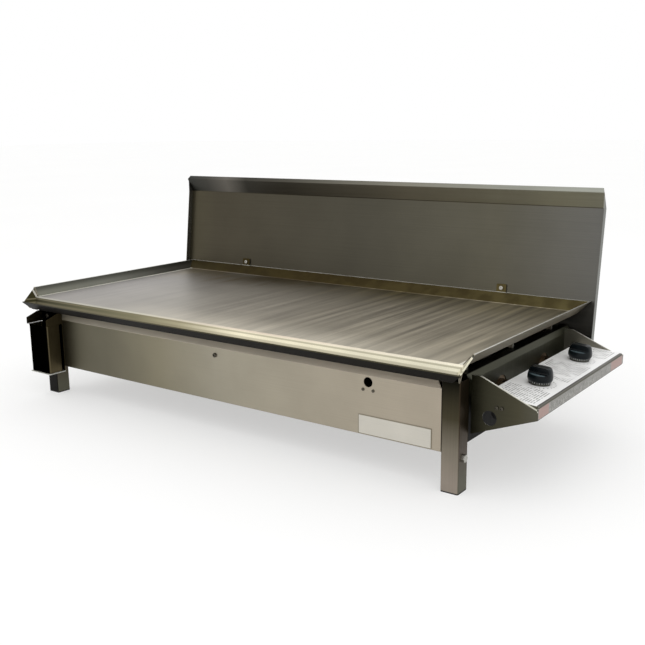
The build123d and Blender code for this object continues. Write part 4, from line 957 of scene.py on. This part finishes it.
class BARBECUE_OT_fittings(bpy.types.Operator):
    """Finish the burners, the valves, the fasteners and the other fittings"""

    bl_idname = "barbecue.fittings"
    bl_label = "Finish the fittings"

    def execute(self, context):
        colours = context.scene.barbecue_colours
        dress(
            burner_material(),
            "burner_front",
            "burner_rear",
            "burner_rest",
            "burner_collars",
            "air_shutter_front",
            "air_shutter_rear",
        )
        dress(
            turned_material("Bright zinc fasteners", colours.zinc, 0.34),
            "fascia_nut",
            "leg_bolts",
            "leg_nuts",
            "splashback_screws",
            "splashback_nuts",
            "burner_screws",
            "return_spring_front",
            "return_spring_rear",
        )
        # painted shade: a darker copy of the fastener steel for these screws and rivets
        dress(
            turned_material("Shaded stainless screws and rivets", colours.shaded_steel, 0.40),
            "fascia_screw",
            "lighting_rivets",
            "control_box_screws",
            "tin_holder_screws",
        )
        # painted shade: the brass is painted dark, as it sits in the shade inside the body
        dress(
            turned_material("Shadowed brass", colours.brass, 0.42),
            "gas_valve_front",
            "gas_valve_rear",
            "valve_plug_front",
            "valve_plug_rear",
            "spindle_front",
            "spindle_rear",
            "injector_front",
            "injector_rear",
            "gas_inlet",
        )
        dress(painted_plug_material(), "pipe_plug")
        dress(pipe_material(), "gas_pipe")
        # painted shade: dark grey bezels stand for the shadow under the knobs
        dress(turned_material("Die-cast bezel", colours.bezel, 0.40), "bezel_front", "bezel_rear")
        dress(rubber_material(), "leg_end_caps")
        dress(control_label_material(), "control_label")
        dress(lip_label_material(), "lip_label")
        dress(badge_material(), "badge_plate")
        return {"FINISHED"}


class BARBECUE_OT_stage(bpy.types.Operator):
    """Set up the pale floor, the soft studio light and the camera"""

    bl_idname = "barbecue.stage"
    bl_label = "Set up the stage"

    def execute(self, context):
        studio = context.scene.barbecue_studio
        bpy.ops.object.select_all(action="DESELECT")
        bpy.ops.mesh.primitive_plane_add(size=80, location=(0, 0, 0))
        floor = context.object
        floor.name = "studio_floor"
        floor.data.materials.append(floor_material())

        world = bpy.data.worlds.new("Studio")
        context.scene.world = world
        world.use_nodes = True
        world.node_tree.nodes.clear()
        add = functools.partial(add_node, world.node_tree)
        # the background itself is plain white, also in metal and through glass
        seen = seen_by(add, "Camera", "Glossy", "Transmission")
        light = add("Background", "#ffffff", studio.world_strength)
        white = add("Background", "#ffffff", 1.0)
        add("OutputWorld", add("MixShader", seen, light, white))

        middle = Vector((0, 0, 0.2))
        for name, place, size, power in (
            ("Key softbox", (1.4, -1.6, 2.6), 2.2, 9.0),
            ("Fill softbox", (-2.2, -1.2, 1.9), 2.0, 4.0),
            ("Back softbox", (0.2, 2.2, 2.4), 2.0, 4.0),
        ):
            lamp = bpy.data.lights.new(name, "AREA")
            lamp.shape = "SQUARE"
            lamp.size = size
            lamp.energy = power
            softbox = bpy.data.objects.new(name, lamp)
            context.scene.collection.objects.link(softbox)
            softbox.location = place
            softbox.rotation_euler = (middle - Vector(place)).to_track_quat("-Z", "Y").to_euler()

        camera = bpy.data.cameras.new("Photo view")
        camera.sensor_width = 36
        camera.lens = studio.focal_length
        camera.clip_start = 0.05
        camera.clip_end = 120
        view = bpy.data.objects.new("Photo view", camera)
        context.scene.collection.objects.link(view)
        back = CAMERA_RIGHT.cross(CAMERA_UP)
        turn = Matrix((CAMERA_RIGHT, CAMERA_UP, back)).transposed()
        view.matrix_world = Matrix.Translation(studio.camera_place) @ turn.to_4x4()
        context.scene.camera = view
        context.scene.view_settings.view_transform = "Standard"
        return {"FINISHED"}


class BARBECUE_PT_panel(bpy.types.Panel):
    """Lists the steps, the sizes and the colours"""

    bl_idname = "BARBECUE_PT_panel"
    bl_label = "Flat plate barbecue"
    bl_space_type = "VIEW_3D"
    bl_region_type = "UI"
    bl_category = "Barbecue"

    def draw(self, context):
        scene = context.scene
        for group in (scene.barbecue_sizes, scene.barbecue_colours, scene.barbecue_studio):
            for key in group.__annotations__:
                self.layout.prop(group, key)
        for step in STEPS:
            self.layout.operator(step.bl_idname)


GROUPS = {
    "barbecue_sizes": BarbecueSizes,
    "barbecue_colours": BarbecueColours,
    "barbecue_studio": BarbecueStudio,
}
STEPS = (
    BARBECUE_OT_steel,
    BARBECUE_OT_fittings,
    BARBECUE_OT_knobs,
    BARBECUE_OT_welds,
    BARBECUE_OT_stage,
)
CLASSES = (*GROUPS.values(), *STEPS, BARBECUE_PT_panel)


def register():
    for kind in CLASSES:
        bpy.utils.register_class(kind)
    for name, group in GROUPS.items():
        setattr(bpy.types.Scene, name, bpy.props.PointerProperty(type=group))


def unregister():
    for name in GROUPS:
        delattr(bpy.types.Scene, name)
    for kind in reversed(CLASSES):
        bpy.utils.unregister_class(kind)


def main():
    register()
    bpy.ops.barbecue.steel()
    bpy.ops.barbecue.fittings()
    bpy.ops.barbecue.knobs()
    bpy.ops.barbecue.welds()
    bpy.ops.barbecue.stage()
    bpy.context.view_layer.update()


if __name__ == "__main__":
    main()
